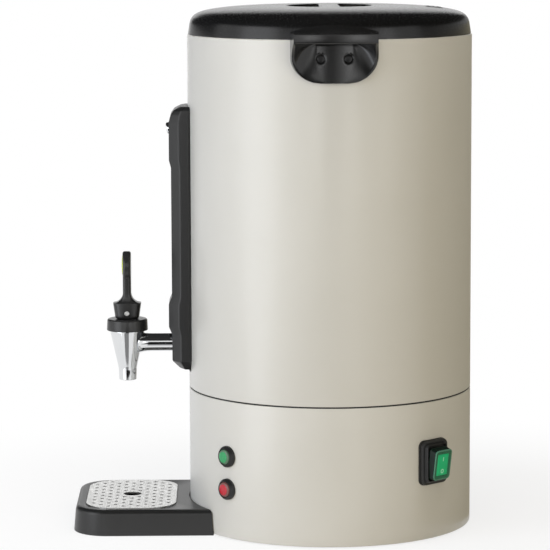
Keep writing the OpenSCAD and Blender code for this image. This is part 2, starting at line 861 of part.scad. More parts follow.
// Ends of the wires: at tabs, at the pins of the element, at the lamps and in the poles of the terminal block
function polar(r, a, z) = [r * cos(a), r * sin(a), z];
function tab_end(azimuth, h, side) = polar(control_r, azimuth, heat_z - h - tab_l - wire_gap)
    + side * tab_gap / 2 * [-sin(azimuth), cos(azimuth), 0];
function pin_end(azimuth) = polar(element_ring_d / 2, azimuth, element_z - element_pin_l - wire_gap);
function switch_end(row) =
    polar(body_r - switch_body_in - tab_l - wire_gap, switch_azimuth, switch_z + row * tab_step);
function lamp_end(z) = polar(body_r - barrel_in - wire_gap, lamp_azimuth, z);
function pole_end(i) = [terminal_at[0] + (i - 1) * terminal_l / terminal_poles, terminal_at[1],
    base_plate_top + terminal_h - pole_h + wire_gap];
downwards = [0, 0, -1];
upwards = [0, 0, 1];
to_switch = -polar(1, switch_azimuth, 0);
to_lamps = -polar(1, lamp_azimuth, 0);

// A wire that leaves each of its ends straight, and then follows points of its own
function lead(end, dir) = [for (i = [0:2]) end + i * wire_lead * dir];
module wire(from, from_dir, points, to, to_dir) {
    back = lead(to, to_dir);
    tube(smooth(concat(lead(from, from_dir), points, [back[2], back[1], back[0]])), wire_d / 2);
}

module wiring() {
    color(live_wire) {
        wire(pole_end(2), 2 * upwards, [[-16, -22, 46], [16, 8, 50], [44, 42, 56]], switch_end(-1), to_switch);
        wire(switch_end(1), to_switch, [[40, 50, 74]],
            tab_end(thermostat_azimuth, thermostat_h, -1), downwards);
        wire(tab_end(thermostat_azimuth, thermostat_h, 1), downwards, [[-9, 10, 80], [-10, -8, 80]],
            tab_end(cutout_azimuth, cutout_h, 1), downwards);
        wire(tab_end(cutout_azimuth, cutout_h, -1), downwards, [[-32, -16, 76], [-48, 8, 74]],
            pin_end(element_start), downwards);
        wire(switch_end(0), to_switch, [[68, 28, 62], [76, -8, 62], [68, -40, 64]],
            lamp_end(green_lamp_z), to_lamps);
    }
    color(neutral_wire) {
        wire(pin_end(element_start - element_gap_angle), downwards, [[-24, 36, 60], [-36, 4, 50]],
            pole_end(1), 2 * upwards);
        wire(pole_end(0), 2 * upwards, [[-52, -54, 42], [-10, -74, 40], [36, -72, 40]],
            lamp_end(red_lamp_z), to_lamps);
    }
}

module tie_rod() { color(steel) drum(tie_rod_d / 2, foot_h - tie_nut_h - tip_margin, heat_z); }

module tie_nut() {
    color(steel) difference() {
        translate([0, 0, foot_h - tie_nut_h]) cylinder(r = tie_rod_d / 2 + tie_nut_w, h = tie_nut_h, $fn = 6);
        drum(tie_rod_d / 2, 0, foot_h + overcut);
    }
}

module cord_gland() {
    nose_x = body_r + gland_hex_l;
    color(soft_black) at_azimuth(gland_azimuth) difference() {
        union() {
            difference() {
                hex_x(gland_hex_r, body_r - wall_cut, nose_x, gland_z);
                drum(body_r, 0, seam_z);
            }
            rod_x(gland_barrel_r, body_r - gland_in, nose_x, gland_z);
            translate([nose_x, 0, gland_z]) rotate([0, 90, 0])
                cylinder(r1 = gland_hex_r - gland_step, r2 = gland_nose_r, h = gland_reach - gland_hex_l);
        }
        rod_x(gland_bore_d / 2, body_r - gland_in - overcut, body_r + gland_reach + overcut, gland_z);
    }
}

module gland_nut() {
    nut_x = sqrt(body_in_r * body_in_r - gland_hex_r * gland_hex_r);
    color(soft_black) at_azimuth(gland_azimuth) difference() {
        hex_x(gland_hex_r, nut_x - gland_nut_l, nut_x, gland_z);
        rod_x(gland_barrel_r, nut_x - gland_nut_l - overcut, nut_x + overcut, gland_z);
    }
}

// Side handles

// The handle seen from the side of the urn: round below, arched above
module handle_outline() {
    hw = handle_w / 2;
    intersection() {
        union() {
            translate([-hw, handle_z + handle_corner_r]) square([handle_w, handle_h]);
            translate([-hw + handle_corner_r, handle_z]) square([handle_w - 2 * handle_corner_r, handle_h]);
            for (s = [-1, 1]) translate([s * (hw - handle_corner_r), handle_z + handle_corner_r])
                circle(handle_corner_r);
        }
        translate([0, handle_top_z - arch_r]) circle(arch_r);
    }
}

// The handle seen from above: it narrows a little towards its outer edge
module handle_plan(inset) {
    polygon([
        [handle_back_r - overcut, -handle_w / 2 + inset], [handle_tip_r + overcut, -handle_tip_w / 2 + inset],
        [handle_tip_r + overcut, handle_tip_w / 2 - inset], [handle_back_r - overcut, handle_w / 2 - inset]
    ]);
}

// Centre of the circle through two points, on the right of the way from a to b
function arc_centre(a, b, r) =
    let (d = b - a, rise = sqrt(r * r - d * d / 4)) (a + b) / 2 + rise * [d[1], -d[0]] / norm(d);

// Two side walls, hollowed from the foot of the plate to the edge of the lip
module handle_walls() {
    foot = [handle_plate_r - slack, handle_z];
    edge = [handle_tip_r - lip_nose, lip_z];
    intersection() {
        translate([0, 0, handle_z]) linear_extrude(lip_z - handle_z + lip_nose) difference() {
            handle_plan(0);
            handle_plan(gusset_t);
        }
        slab_y(handle_w + 2 * overcut) difference() {
            translate([handle_back_r, handle_z])
                square([edge[0] - overcut - handle_back_r, lip_z - handle_z + lip_nose]);
            translate(arc_centre(foot, edge, gusset_arc_r)) circle(gusset_arc_r);
        }
    }
}

// The plate against the shell and the lip that stands out of it, cut to the plan
module handle_lip() {
    intersection() {
        rotate_extrude() polygon([
            [handle_back_r, handle_z - overcut], [handle_plate_r, handle_z - overcut], [handle_plate_r, lip_z],
            [handle_tip_r - lip_nose, lip_z], [handle_tip_r, lip_z + lip_nose],
            [handle_tip_r, lip_top_z - lip_nose], [handle_tip_r - lip_nose, lip_top_z],
            [handle_plate_r, handle_top_z - lip_root], [handle_plate_r, handle_top_z + overcut],
            [handle_back_r, handle_top_z + overcut]
        ]);
        translate([0, 0, handle_z - overcut]) linear_extrude(handle_h + 2 * overcut) handle_plan(0);
    }
}

module side_handle(azimuth) {
    color(black_plastic) at_azimuth(azimuth) difference() {
        intersection() {
            union() {
                handle_lip();
                handle_walls();
            }
            translate([handle_back_r - overcut, 0, 0]) rotate([90, 0, 90])
                linear_extrude(handle_tip_r - handle_back_r + 2 * overcut) handle_outline();
        }
        drum(handle_in_r, handle_z - overcut, handle_top_z + overcut);
        for (s = [-1, 1]) {
            rod_x(handle_screw_d / 2 + bolt_gap, handle_back_r, handle_plate_r + overcut,
                handle_screw_z, s * handle_screw_y);
            rod_x(screw_head_r + slack, screw_seat_x, handle_plate_r + overcut,
                handle_screw_z, s * handle_screw_y);
        }
    }
}

module right_handle() { side_handle(0); }

module left_handle() { side_handle(180); }

module handle_screws() {
    color(soft_black) for (side = [0, 180], s = [-1, 1]) at_azimuth(side) {
        rod_x(screw_head_r, screw_seat_x, screw_seat_x + screw_head_h, handle_screw_z, s * handle_screw_y);
        rod_x(handle_screw_d / 2, body_in_r - handle_nut_h - screw_past_nut, screw_seat_x + overcut,
            handle_screw_z, s * handle_screw_y);
    }
}

module handle_nuts() {
    nut_x = sqrt(pow(body_in_r, 2) - pow(handle_screw_y + handle_nut_r, 2));
    color(steel) for (side = [0, 180], s = [-1, 1]) at_azimuth(side) translate([0, s * handle_screw_y, 0])
        difference() {
            hex_x(handle_nut_r, nut_x - handle_nut_h, nut_x, handle_screw_z);
            rod_x(handle_screw_d / 2, nut_x - handle_nut_h - overcut, nut_x + overcut, handle_screw_z);
        }
}

// Gauge panel

// The panel seen from the side, set in by a wall: a boss at each end of the gauge glass
module panel_profile(inset) {
    low = panel_z + inset;
    high = panel_top_z - inset;
    mid = panel_x - inset;
    boss = panel_boss_x - inset;
    lower_boss = panel_lower_x - inset;
    polygon([
        [panel_back_x, low], [panel_x - chamfer_d, low], [mid, panel_z + chamfer_h],
        [mid, lower_boss_z - boss_slope], [lower_boss, lower_boss_z], [lower_boss, lower_boss_top],
        [mid, lower_boss_top + boss_slope], [mid, upper_boss_z - boss_slope], [boss, upper_boss_z],
        [boss, upper_boss_top], [mid, upper_boss_top + boss_slope],
        [mid - top_slope_d[0], panel_top_z - top_slope_h - inset / 2], [mid - top_slope_d[1], high],
        [panel_back_x, high]
    ]);
}

// The panel seen from above, set in by a wall
module panel_plan(inset) {
    hw = panel_w / 2 - inset;
    bevel_x = panel_x - panel_bevel_d - inset / 2;
    run = panel_front_x + overcut - bevel_x;
    nose = hw - panel_bevel_w * run / panel_bevel_d;
    polygon([
        [panel_back_x, -hw], [bevel_x, -hw], [bevel_x + run, -nose],
        [bevel_x + run, nose], [bevel_x, hw], [panel_back_x, hw]
    ]);
}

module panel_solid(inset) {
    intersection() {
        slab_y(panel_w) panel_profile(inset);
        translate([0, 0, panel_z]) linear_extrude(panel_h) panel_plan(inset);
        pad_x(panel_w - 2 * inset, panel_h - 2 * inset, panel_corner_r - inset, panel_back_x,
            panel_front_x + overcut, panel_mid_z);
    }
}

module gauge_panel() {
    color(black_plastic) at_front() difference() {
        panel_solid(0);
        panel_solid(panel_wall);
        drum(body_r, 0, rim_z);
        rod_x(shank_r + bolt_gap, body_r, panel_front_x + overcut, tap_z);
        rod_x(cap_screw_d / 2 + bolt_gap, body_r, panel_boss_x + overcut, cap_z);
        rod_x(cap_d / 2 + slack, cap_seat_x, panel_boss_x + overcut, cap_z);
        pad_x(window_w, window_h, window_w / 2 - window_flat, glass_x, panel_front_x + overcut, window_z);
    }
}

module gauge_glass() {
    color(clear_glass) at_front() translate([glass_x, 0, 0])
        ring(glass_r, glass_bore_d / 2, glass_z, glass_top_z);
}

// A block between the shell and the panel
module gauge_block(z0, z1) {
    difference() {
        translate([panel_back_x, -block_w / 2, z0]) cube([block_x - panel_back_x, block_w, z1 - z0]);
        drum(body_r, 0, rim_z);
    }
}

module gauge_lower_block() {
    color(soft_black) at_front() difference() {
        gauge_block(lower_block_z, lower_block_top);
        rod_x(shank_r, panel_back_x, block_x + overcut, tap_z);
        translate([glass_x, 0, 0]) drum(glass_bore_d / 2, tap_z, lower_block_top);
        translate([glass_x, 0, 0]) drum(socket_r, glass_z, lower_block_top + overcut);
    }
}

module gauge_upper_block() {
    color(soft_black) at_front() difference() {
        gauge_block(upper_block_z, upper_block_top);
        rod_x(cap_screw_d / 2, cap_screw_x, block_x + overcut, cap_z);
        translate([glass_x, 0, 0]) drum(socket_r, upper_block_z - overcut, glass_top_z);
    }
}

module gauge_seals() {
    color(silicone) at_front() translate([glass_x, 0, 0]) {
        ring(socket_r, glass_r, glass_z + seal_rise, glass_z + seal_rise + seal_h);
        ring(socket_r, glass_r, glass_top_z - seal_rise - seal_h, glass_top_z - seal_rise);
    }
}

module cap_screw() {
    head_x = cap_seat_x + cap_head_h;
    color(chrome) at_front() {
        translate([0, 0, cap_z]) rotate([0, 90, 0]) rotate_extrude() polygon(concat(
            [[0, cap_seat_x], [cap_d / 2, cap_seat_x]],
            arc([cap_d / 2 - cap_rim, head_x - cap_rim], cap_rim, 0, 90, 6), [[0, head_x]]));
        rod_x(cap_screw_d / 2, cap_screw_x, cap_seat_x + overcut, cap_z);
    }
}

// Tap

// Inner radius of the tap's chamber at a height
function chamber_r(z) = spout_neck_d / 2 - tap_wall
    + (cone_d - spout_neck_d) / 2 * (z - cone_foot_z) / (cone_top_z - cone_foot_z);

module tap_body() {
    color(chrome) at_front() difference() {
        union() {
            translate([tap_x, 0, 0]) rotate_extrude() polygon([
                [0, spout_z], [spout_d / 2, spout_z], [spout_neck_d / 2, cone_foot_z], [cone_d / 2, cone_top_z],
                [collar_r, cone_top_z], [collar_r, cone_top_z + collar_h], [0, cone_top_z + collar_h]
            ]);
            rod_x(shank_r, shank_end_x, tap_x, tap_z);
        }
        translate([tap_x, 0, 0]) rotate_extrude() polygon([
            [0, spout_z - overcut], [spout_bore_d / 2, spout_z - overcut], [spout_bore_d / 2, seat_z],
            [chamber_r(seat_z), seat_z], [collar_r - collar_wall, cone_top_z],
            [collar_r - collar_wall, cone_top_z + collar_h + overcut], [0, cone_top_z + collar_h + overcut]
        ]);
        rod_x(shank_bore_d / 2, shank_end_x - overcut, tap_x, tap_z);
        translate([glass_x, 0, 0]) drum(glass_bore_d / 2 - port_step, tap_z, tap_z + shank_r + overcut);
    }
}

// A sleeve that seals the shank between the tank and the shell
module tap_spacer() {
    color(silicone) at_front() difference() {
        intersection() {
            rod_x(washer_r, tank_r - wall_cut, body_r, tap_z);
            drum(body_in_r, tap_z - washer_r - overcut, tap_z + washer_r + overcut);
        }
        drum(tank_r, 0, rim_z);
        rod_x(shank_r, tank_r - wall_cut - overcut, body_r + overcut, tap_z);
    }
}

module tank_washer() {
    inner_x = tank_in_r - washer_t;
    color(silicone) at_front() difference() {
        intersection() {
            rod_x(washer_r, inner_x, tank_r, tap_z);
            drum(tank_in_r, tap_z - washer_r - overcut, tap_z + washer_r + overcut);
        }
        rod_x(shank_r, inner_x - overcut, tank_r + overcut, tap_z);
    }
}

module tank_nut() {
    inner_x = tank_in_r - washer_t;
    color(steel) at_front() difference() {
        hex_x(nut_r, inner_x - nut_h, inner_x, tap_z);
        rod_x(shank_r, inner_x - nut_h - overcut, inner_x + overcut, tap_z);
    }
}

module tap_bonnet() {
    color(black_plastic) at_front() translate([tap_x, 0, 0]) difference() {
        rotate_extrude() polygon(concat(
            [[0, bonnet_z], [bonnet_d / 2, bonnet_z]],
            arc([bonnet_top_d / 2 - bonnet_edge, bonnet_top_z - bonnet_edge], bonnet_edge, 0, 90, 6),
            [[0, bonnet_top_z]]));
        drum(collar_r + bolt_gap, bonnet_z - overcut, bonnet_ceiling_z);
        drum(stem_r + running_gap, bonnet_z, bonnet_top_z + overcut);
    }
}

spring_low = cup_z + cup_h + spring_wire_r + spring_gap;
spring_high = bonnet_ceiling_z - spring_wire_r - spring_gap;
function spring_point(t) = [spring_r * cos(360 * spring_turns * t), spring_r * sin(360 * spring_turns * t),
    spring_low + (spring_high - spring_low) * t];

module tap_spring() {
    last = spring_turns * spring_rings;
    color(steel) at_front() translate([tap_x, 0, 0])
        tube([for (i = [0:last]) spring_point(i / last)], spring_wire_r);
}

module tap_stem() {
    color(steel) at_front() translate([tap_x, 0, 0]) difference() {
        union() {
            drum(stem_r, cup_z + cup_floor, pin_z);
            translate([0, 0, pin_z]) slab_y(eye_t) circle(eye_r);
        }
        translate([0, 0, pin_z]) slab_y(eye_t + 2 * overcut) circle(pin_r + running_gap);
    }
}

module seat_cup() {
    color(silicone) at_front() translate([tap_x, 0, 0]) difference() {
        rotate_extrude() polygon([
            [0, cup_z], [seat_d / 2 - cup_chamfer[0], cup_z], [seat_d / 2, cup_z + cup_chamfer[1]],
            [seat_d / 2, cup_z + cup_wall_h], [spring_r + cup_shelf, cup_z + cup_h], [0, cup_z + cup_h]
        ]);
        drum(stem_r, cup_z + cup_floor, cup_z + cup_h + overcut);
    }
}

// The lever seen from the side: a foot, hollow shoulders and an upright blade
module lever_profile() {
    foot = lever_foot_l / 2;
    shoulder = lever_shoulder_l / 2;
    half = blade_t / 2;
    hollow = [half + shoulder_r, lever_shoulder_h + shoulder_r];
    reach = acos(min(1, (hollow[0] - shoulder) / shoulder_r));
    right = concat(
        arc([foot - lever_corner_r, lever_foot_z + lever_corner_r], lever_corner_r, 270, 360, 5),
        [[shoulder, hollow[1] - shoulder_r * sin(reach)]],
        arc(hollow, shoulder_r, 180 + reach, 180, 6),
        arc([half - blade_round, lever_h - blade_round], blade_round, 0, 90, 4));
    left = [for (i = [len(right) - 1:-1:0]) [-right[i][0], right[i][1]]];
    polygon(concat(right, left));
}

// The lever seen from the front: a foot, a neck and a round end
module lever_face() {
    translate([-lever_foot_w / 2, lever_foot_z])
        square([lever_foot_w, lever_shoulder_h - lever_foot_z + overcut]);
    translate([-blade_neck_w / 2, 0]) square([blade_neck_w, blade_end_z]);
    translate([0, blade_end_z]) circle(blade_w / 2);
}

module tap_lever() {
    color(black_plastic) at_front() translate([tap_x, 0, pin_z]) difference() {
        intersection() {
            slab_y(blade_w + lever_foot_w) lever_profile();
            translate([-lever_shoulder_l, 0, 0]) rotate([90, 0, 90])
                linear_extrude(2 * lever_shoulder_l) lever_face();
        }
        slab_y(lever_foot_w + 2 * overcut) circle(pin_r);
        translate([-slot_l / 2, -slot_w / 2, lever_foot_z - overcut])
            cube([slot_l, slot_w, eye_r + eye_gap - lever_foot_z + overcut]);
        rod_x(inset_d / 2, blade_t / 2 - inset_h, blade_t, blade_end_z);
    }
}

module lever_pin() {
    color(chrome) at_front() translate([tap_x, 0, pin_z]) slab_y(lever_foot_w) circle(pin_r);
}

module lever_inset() {
    face_x = tap_x + blade_t / 2;
    color(lime) at_front() dome_x(inset_d / 2, face_x - inset_h, face_x, inset_proud, pin_z + blade_end_z);
}

// Lid

// Outer face of the lid from the rim to the middle: a drafted side, a round shoulder and a low crown
function lid_curve(inset) =
    let (crown_r = (pow(lid_side_r - lid_shoulder_r, 2) + lid_crown * lid_crown) / (2 * lid_crown),
         crown_end = asin((lid_side_r - lid_shoulder_r) / crown_r))
    concat(
        arc([lid_side_r - lid_shoulder_r, lid_shoulder_z], lid_shoulder_r - inset, 0, 90 - crown_end, 10),
        [for (i = [5:-1:0]) let (a = crown_end * i / 6)
            [(crown_r - inset) * sin(a), lid_top_z - crown_r + (crown_r - inset) * cos(a)]]);

module finger_wells() {
    for (s = [-1, 1]) intersection() {
        drum(grip_r, grip_floor_z, lid_top_z + overcut);
        translate([-grip_r, s * (grip_bar_w / 2 + grip_r) - grip_r, grip_floor_z])
            cube([2 * grip_r, 2 * grip_r, grip_depth + overcut]);
    }
}

module lid_cover() {
    outer = concat([[0, lid_z], [lid_r, lid_z]], lid_curve(0));
    inner = concat([[0, lid_z - overcut], [lid_r - lid_wall, lid_z - overcut]], lid_curve(lid_wall));
    color(black_plastic) difference() {
        union() {
            difference() {
                rotate_extrude() polygon(outer);
                rotate_extrude() polygon(inner);
            }
            intersection() {
                union() {
                    ring(plug_r, plug_r - plug_wall, plug_z, lid_top_z);
                    ring(lid_r - lid_wall / 2, plug_r - plug_wall, seal_top_z, seal_top_z + web_t);
                    drum(grip_r + grip_wall, grip_floor_z - grip_wall, lid_top_z);
                }
                rotate_extrude() polygon(concat([[0, plug_z], [lid_r, plug_z]], lid_curve(lid_wall / 2)));
            }
        }
        finger_wells();
        for (i = [0:vent_slots - 1])
            translate([0, vent_slot_r + (i - (vent_slots - 1) / 2) * vent_slot_step, seal_top_z + web_t])
                linear_extrude(lid_h) square([vent_slot_l, vent_slot_w], center = true);
    }
}

module lid_liner() {
    color(steel) difference() {
        drum(plug_r - plug_wall, plug_z + liner_rise, plug_z + liner_rise + liner_t);
        for (i = [0:liner_slots - 1]) at_azimuth(360 * i / liner_slots)
            translate([plug_r - liner_edge, 0, plug_z]) linear_extrude(liner_rise + liner_t + overcut)
                square([liner_slot_w, vent_slot_l], center = true);
    }
}

module lid_seal() { color(silicone) ring(seal_out_r, seal_in_r, seal_z, seal_top_z); }

// Percolator

// Rings of small holes through a disc of the basket's size
module drain_rings(z, h) {
    for (r = [hole_first_r:hole_ring_step:basket_r - hole_edge]) {
        count = floor(2 * PI * r / hole_pitch);
        for (k = [0:count - 1]) at_azimuth(360 * k / count) translate([r, 0, z])
            cylinder(d = basket_hole_d, h = h);
    }
}

module filter_basket() {
    color(steel) difference() {
        rotate_extrude() polygon([
            [riser_r + bolt_gap, basket_z], [basket_r, basket_z], [basket_r, basket_top_z - basket_wall],
            [basket_r + basket_rim_w, basket_top_z - basket_wall], [basket_r + basket_rim_w, basket_top_z],
            [basket_r - basket_wall, basket_top_z], [basket_r - basket_wall, basket_z + basket_wall],
            [riser_r + bolt_gap, basket_z + basket_wall]
        ]);
        drain_rings(basket_z - overcut, basket_wall + 2 * overcut);
    }
}

module basket_cover() {
    color(steel) difference() {
        ring(basket_r + basket_rim_w, riser_r + bolt_gap, basket_top_z, basket_top_z + cover_t);
        drain_rings(basket_top_z - overcut, cover_t + 2 * overcut);
    }
}

module riser_tube() {
    bore_r = riser_bore_d / 2;
    color(steel) rotate_extrude() polygon([
        [bore_r, riser_foot_z], [riser_r, riser_foot_z],
        [riser_r, basket_z - riser_collar_h],
        [riser_r + riser_collar_w, basket_z - riser_collar_h + collar_slope],
        [riser_r + riser_collar_w, basket_z], [riser_r, basket_z],
        [riser_r, riser_top_z], [bore_r, riser_top_z]
    ]);
}

module pump_foot() {
    top_z = pump_z + pump_foot_h;
    foot_r = pump_foot_d / 2;
    sleeve_r = riser_r + pump_sleeve_w;
    color(steel) difference() {
        rotate_extrude() polygon([
            [foot_r - pump_wall, pump_z], [foot_r, pump_z], [foot_r, pump_z + pump_skirt_h],
            [sleeve_r, top_z - pump_seat], [sleeve_r, top_z + pump_sleeve_h], [riser_r, top_z + pump_sleeve_h],
            [riser_r, riser_foot_z], [riser_bore_d / 2, riser_foot_z],
            [riser_bore_d / 2, riser_foot_z - pump_wall],
            [foot_r - pump_wall, pump_z + pump_skirt_h - pump_wall]
        ]);
        for (i = [0:pump_slots - 1]) at_azimuth(360 * i / pump_slots)
            translate([foot_r - wall_cut / 2, -pump_slot_w / 2, pump_z - overcut])
                cube([wall_cut, pump_slot_w, pump_slot_h + overcut]);
    }
}

// Drip tray

module tray_outline(inset) {
    translate([(tray_x + tray_back_x) / 2, 0])
        rounded_rect(tray_x - tray_back_x - 2 * inset, tray_w - 2 * inset, tray_corner_r - inset);
}

module grid_outline(grow) {
    translate([grid_x, 0]) rounded_rect(grid_l + 2 * grow, grid_w + 2 * grow, grid_corner_r + grow);
}

module drip_tray() {
    edge_z = tray_h - tray_fillet;
    color(black_plastic) at_front() {
        difference() {
            hull() {
                linear_extrude(fillet_layer) tray_outline(0, $fn = 48);
                for (a = [0:22.5:90]) translate([0, 0, edge_z + tray_fillet * sin(a) - fillet_layer])
                    linear_extrude(fillet_layer)
                        tray_outline(tray_draft + tray_fillet * (1 - cos(a)), $fn = 48);
            }
            drum(body_r + tray_clear, -overcut, tray_h + overcut);
            translate([0, 0, tray_floor]) linear_extrude(tray_h) grid_outline(-ledge_w);
            translate([0, 0, ledge_z]) linear_extrude(tray_h) grid_outline(slack);
        }
        translate([body_r - tongue_l, -tongue_w / 2, tongue_z])
            cube([tongue_l + tongue_root, tongue_w, tongue_h]);
    }
}

module drain_holes() {
    last = len(drain_counts) - 1;
    for (c = [-last:last]) {
        count = drain_counts[abs(c)];
        for (k = [0:count - 1]) {
            at = [c * drain_pitch, (2 * k - count + 1) * drain_pitch];
            if (norm(at) > (finger_hole_d + drain_d) / 2) translate(at) circle(d = drain_d);
        }
    }
}

module drip_grid() {
    color(steel) at_front() translate([0, 0, grid_z]) linear_extrude(grid_t) difference() {
        grid_outline(0);
        translate([grid_x, 0]) {
            circle(d = finger_hole_d);
            drain_holes();
        }
    }
}

// Lamps

module lamp_bezel(z) {
    color(soft_black) at_azimuth(lamp_azimuth) difference() {
        union() {
            difference() {
                translate([0, 0, z]) rotate([0, 90, 0]) rotate_extrude() polygon([
                    [0, body_r - wall_cut], [bezel_r, body_r - wall_cut],
                    [bezel_r, body_r + bezel_reach - bezel_chamfer[1]],
                    [bezel_r - bezel_chamfer[0], body_r + bezel_reach], [0, body_r + bezel_reach]
                ]);
                drum(body_r, 0, seam_z);
            }
            rod_x(barrel_r, body_r - barrel_in, body_r + overcut, z);
        }
        rod_x(lens_r, body_r + bezel_reach - lens_in, body_r + bezel_reach + overcut, z);
    }
}

module lamp_lens(z) {
    face_x = body_r + bezel_reach;
    at_azimuth(lamp_azimuth) dome_x(lens_r, face_x - lens_in, face_x, lens_out, z);
}

module green_lamp_bezel() { lamp_bezel(green_lamp_z); }

module red_lamp_bezel() { lamp_bezel(red_lamp_z); }

module green_lamp_lens() { color(lamp_green) lamp_lens(green_lamp_z); }

module red_lamp_lens() { color(lamp_red) lamp_lens(red_lamp_z); }

module lamp_nuts() {
    nut_x = sqrt(body_in_r * body_in_r - lamp_nut_r * lamp_nut_r);
    color(steel) at_azimuth(lamp_azimuth) for (z = [green_lamp_z, red_lamp_z]) difference() {
        hex_x(lamp_nut_r, nut_x - lamp_nut_l, nut_x, z);
        rod_x(barrel_r, nut_x - lamp_nut_l - overcut, nut_x + overcut, z);
    }
}

// Switch

// The cut that the switch body drops through
module switch_opening() {
    translate([body_r - wall_cut, 0, switch_z]) rotate([90, 0, 90])
        linear_extrude(wall_cut + gasket_t + overcut)
            square([switch_body_w + slack, switch_body_h + slack], center = true);
}

module switch_gasket() {
    color(soft_black) at_azimuth(switch_azimuth) difference() {
        pad_x(switch_w + 2 * gasket_show, switch_h + 2 * gasket_show, switch_corner_r, body_r - wall_cut,
            switch_back_x, switch_z);
        drum(body_r, 0, seam_z);
        switch_opening();
    }
}

module switch_plate() {
    frame_w = boot_w + 2 * frame_gap + 2 * frame_wall;
    frame_h = boot_h + 2 * frame_gap + 2 * frame_wall + rock_room;
    color(soft_black) at_azimuth(switch_azimuth) difference() {
        union() {
            pad_x(switch_w, switch_h, switch_corner_r, switch_back_x, switch_face_x, switch_z);
            pad_x(frame_w, frame_h, frame_corner_r, switch_back_x, switch_frame_x, switch_z);
        }
        pad_x(frame_w - 2 * frame_wall, frame_h - 2 * frame_wall, frame_bore_r, switch_back_x - overcut,
            switch_frame_x + overcut, switch_z);
    }
}

module switch_body() {
    ear_x = pivot_x + rocker_pin_r + ear_wall;
    color(soft_black) at_azimuth(switch_azimuth) {
        difference() {
            union() {
                translate([body_r - switch_body_in, -switch_body_w / 2, switch_z - switch_body_h / 2])
                    cube([switch_body_in + gasket_t, switch_body_w, switch_body_h]);
                for (s = [-1, 1]) translate([body_r, s * ear_y - ear_t / 2, switch_z - ear_w / 2])
                    cube([ear_x - body_r, ear_t, ear_w]);
            }
            translate([0, boot_w, switch_z]) rotate([90, 0, 0]) translate([pivot_x, 0, 0])
                cylinder(r = rocker_pin_r + running_gap, h = 2 * boot_w);
        }
        for (row = [-1, 0, 1])
            translate([body_r - switch_body_in - tab_l, -tab_w / 2, switch_z + row * tab_step - tab_t / 2])
                cube([tab_l + overcut, tab_w, tab_t]);
    }
}

// Turns a piece about the rocker's axle
module lean(angle) {
    translate([pivot_x, 0, switch_z]) rotate([0, angle, 0]) translate([-pivot_x, 0, -switch_z]) children();
}

module switch_rocker() {
    inner_w = 2 * (ear_y - ear_t / 2 - slack);
    inner_h = boot_h - 2 * boot_t - 2 * rocker_gap;
    pin_l = boot_w - 2 * boot_t - 2 * rocker_gap;
    color(lamp_green) at_azimuth(switch_azimuth) lean(rocker_lean) {
        pad_x(inner_w, inner_h, boot_bore_r - rocker_gap, boot_foot_x, boot_x - boot_t - rocker_gap, switch_z);
        translate([pivot_x - hub_in, -inner_w / 2, switch_z - hub_h / 2])
            cube([boot_foot_x - pivot_x + hub_in + overcut, inner_w, hub_h]);
        translate([pivot_x, pin_l / 2, switch_z]) rotate([90, 0, 0]) cylinder(r = rocker_pin_r, h = pin_l);
    }
}

module switch_boot() {
    inner_w = boot_w - 2 * boot_t;
    inner_h = boot_h - 2 * boot_t;
    color(boot_green) at_azimuth(switch_azimuth) lean(rocker_lean) difference() {
        pad_x(boot_w, boot_h, boot_corner_r, boot_foot_x, boot_x, switch_z);
        pad_x(inner_w, inner_h, boot_bore_r, boot_foot_x - overcut, boot_x - boot_t, switch_z);
    }
}

outer_shell();
base_housing();
seam_gasket();
base_plate();
base_screws();
foot_ring();
inner_tank();
heat_plate();
heating_element();
thermostat();
boil_dry_cutout();
terminal_block();
wiring();
tie_rod();
tie_nut();
cord_gland();
gland_nut();
right_handle();
left_handle();
handle_screws();
handle_nuts();
gauge_panel();
gauge_glass();
gauge_upper_block();
gauge_lower_block();
gauge_seals();
cap_screw();
tap_body();
tap_spacer();
tank_washer();
tank_nut();
tap_bonnet();
tap_spring();
green_lamp_bezel();
red_lamp_bezel();
green_lamp_lens();
red_lamp_lens();
lamp_nuts();
switch_gasket();
switch_plate();
switch_body();
tap_stem();
seat_cup();
tap_lever();
lever_pin();
lever_inset();
lid_cover();
lid_liner();
lid_seal();
filter_basket();
basket_cover();
riser_tube();
pump_foot();
drip_tray();
drip_grid();
switch_rocker();
switch_boot();
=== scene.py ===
# %% [markdown]
# # A coffee urn, dressed from its CAD frame
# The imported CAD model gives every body, joint and size. This lesson keeps that
# frame as it is and lays finer surfaces over the pieces that the eye meets first.
# All lengths below are in millimetres, in the CAD frame: the tap points to -Y, the
# handles stand out along X, and the urn stands on Z = 0.

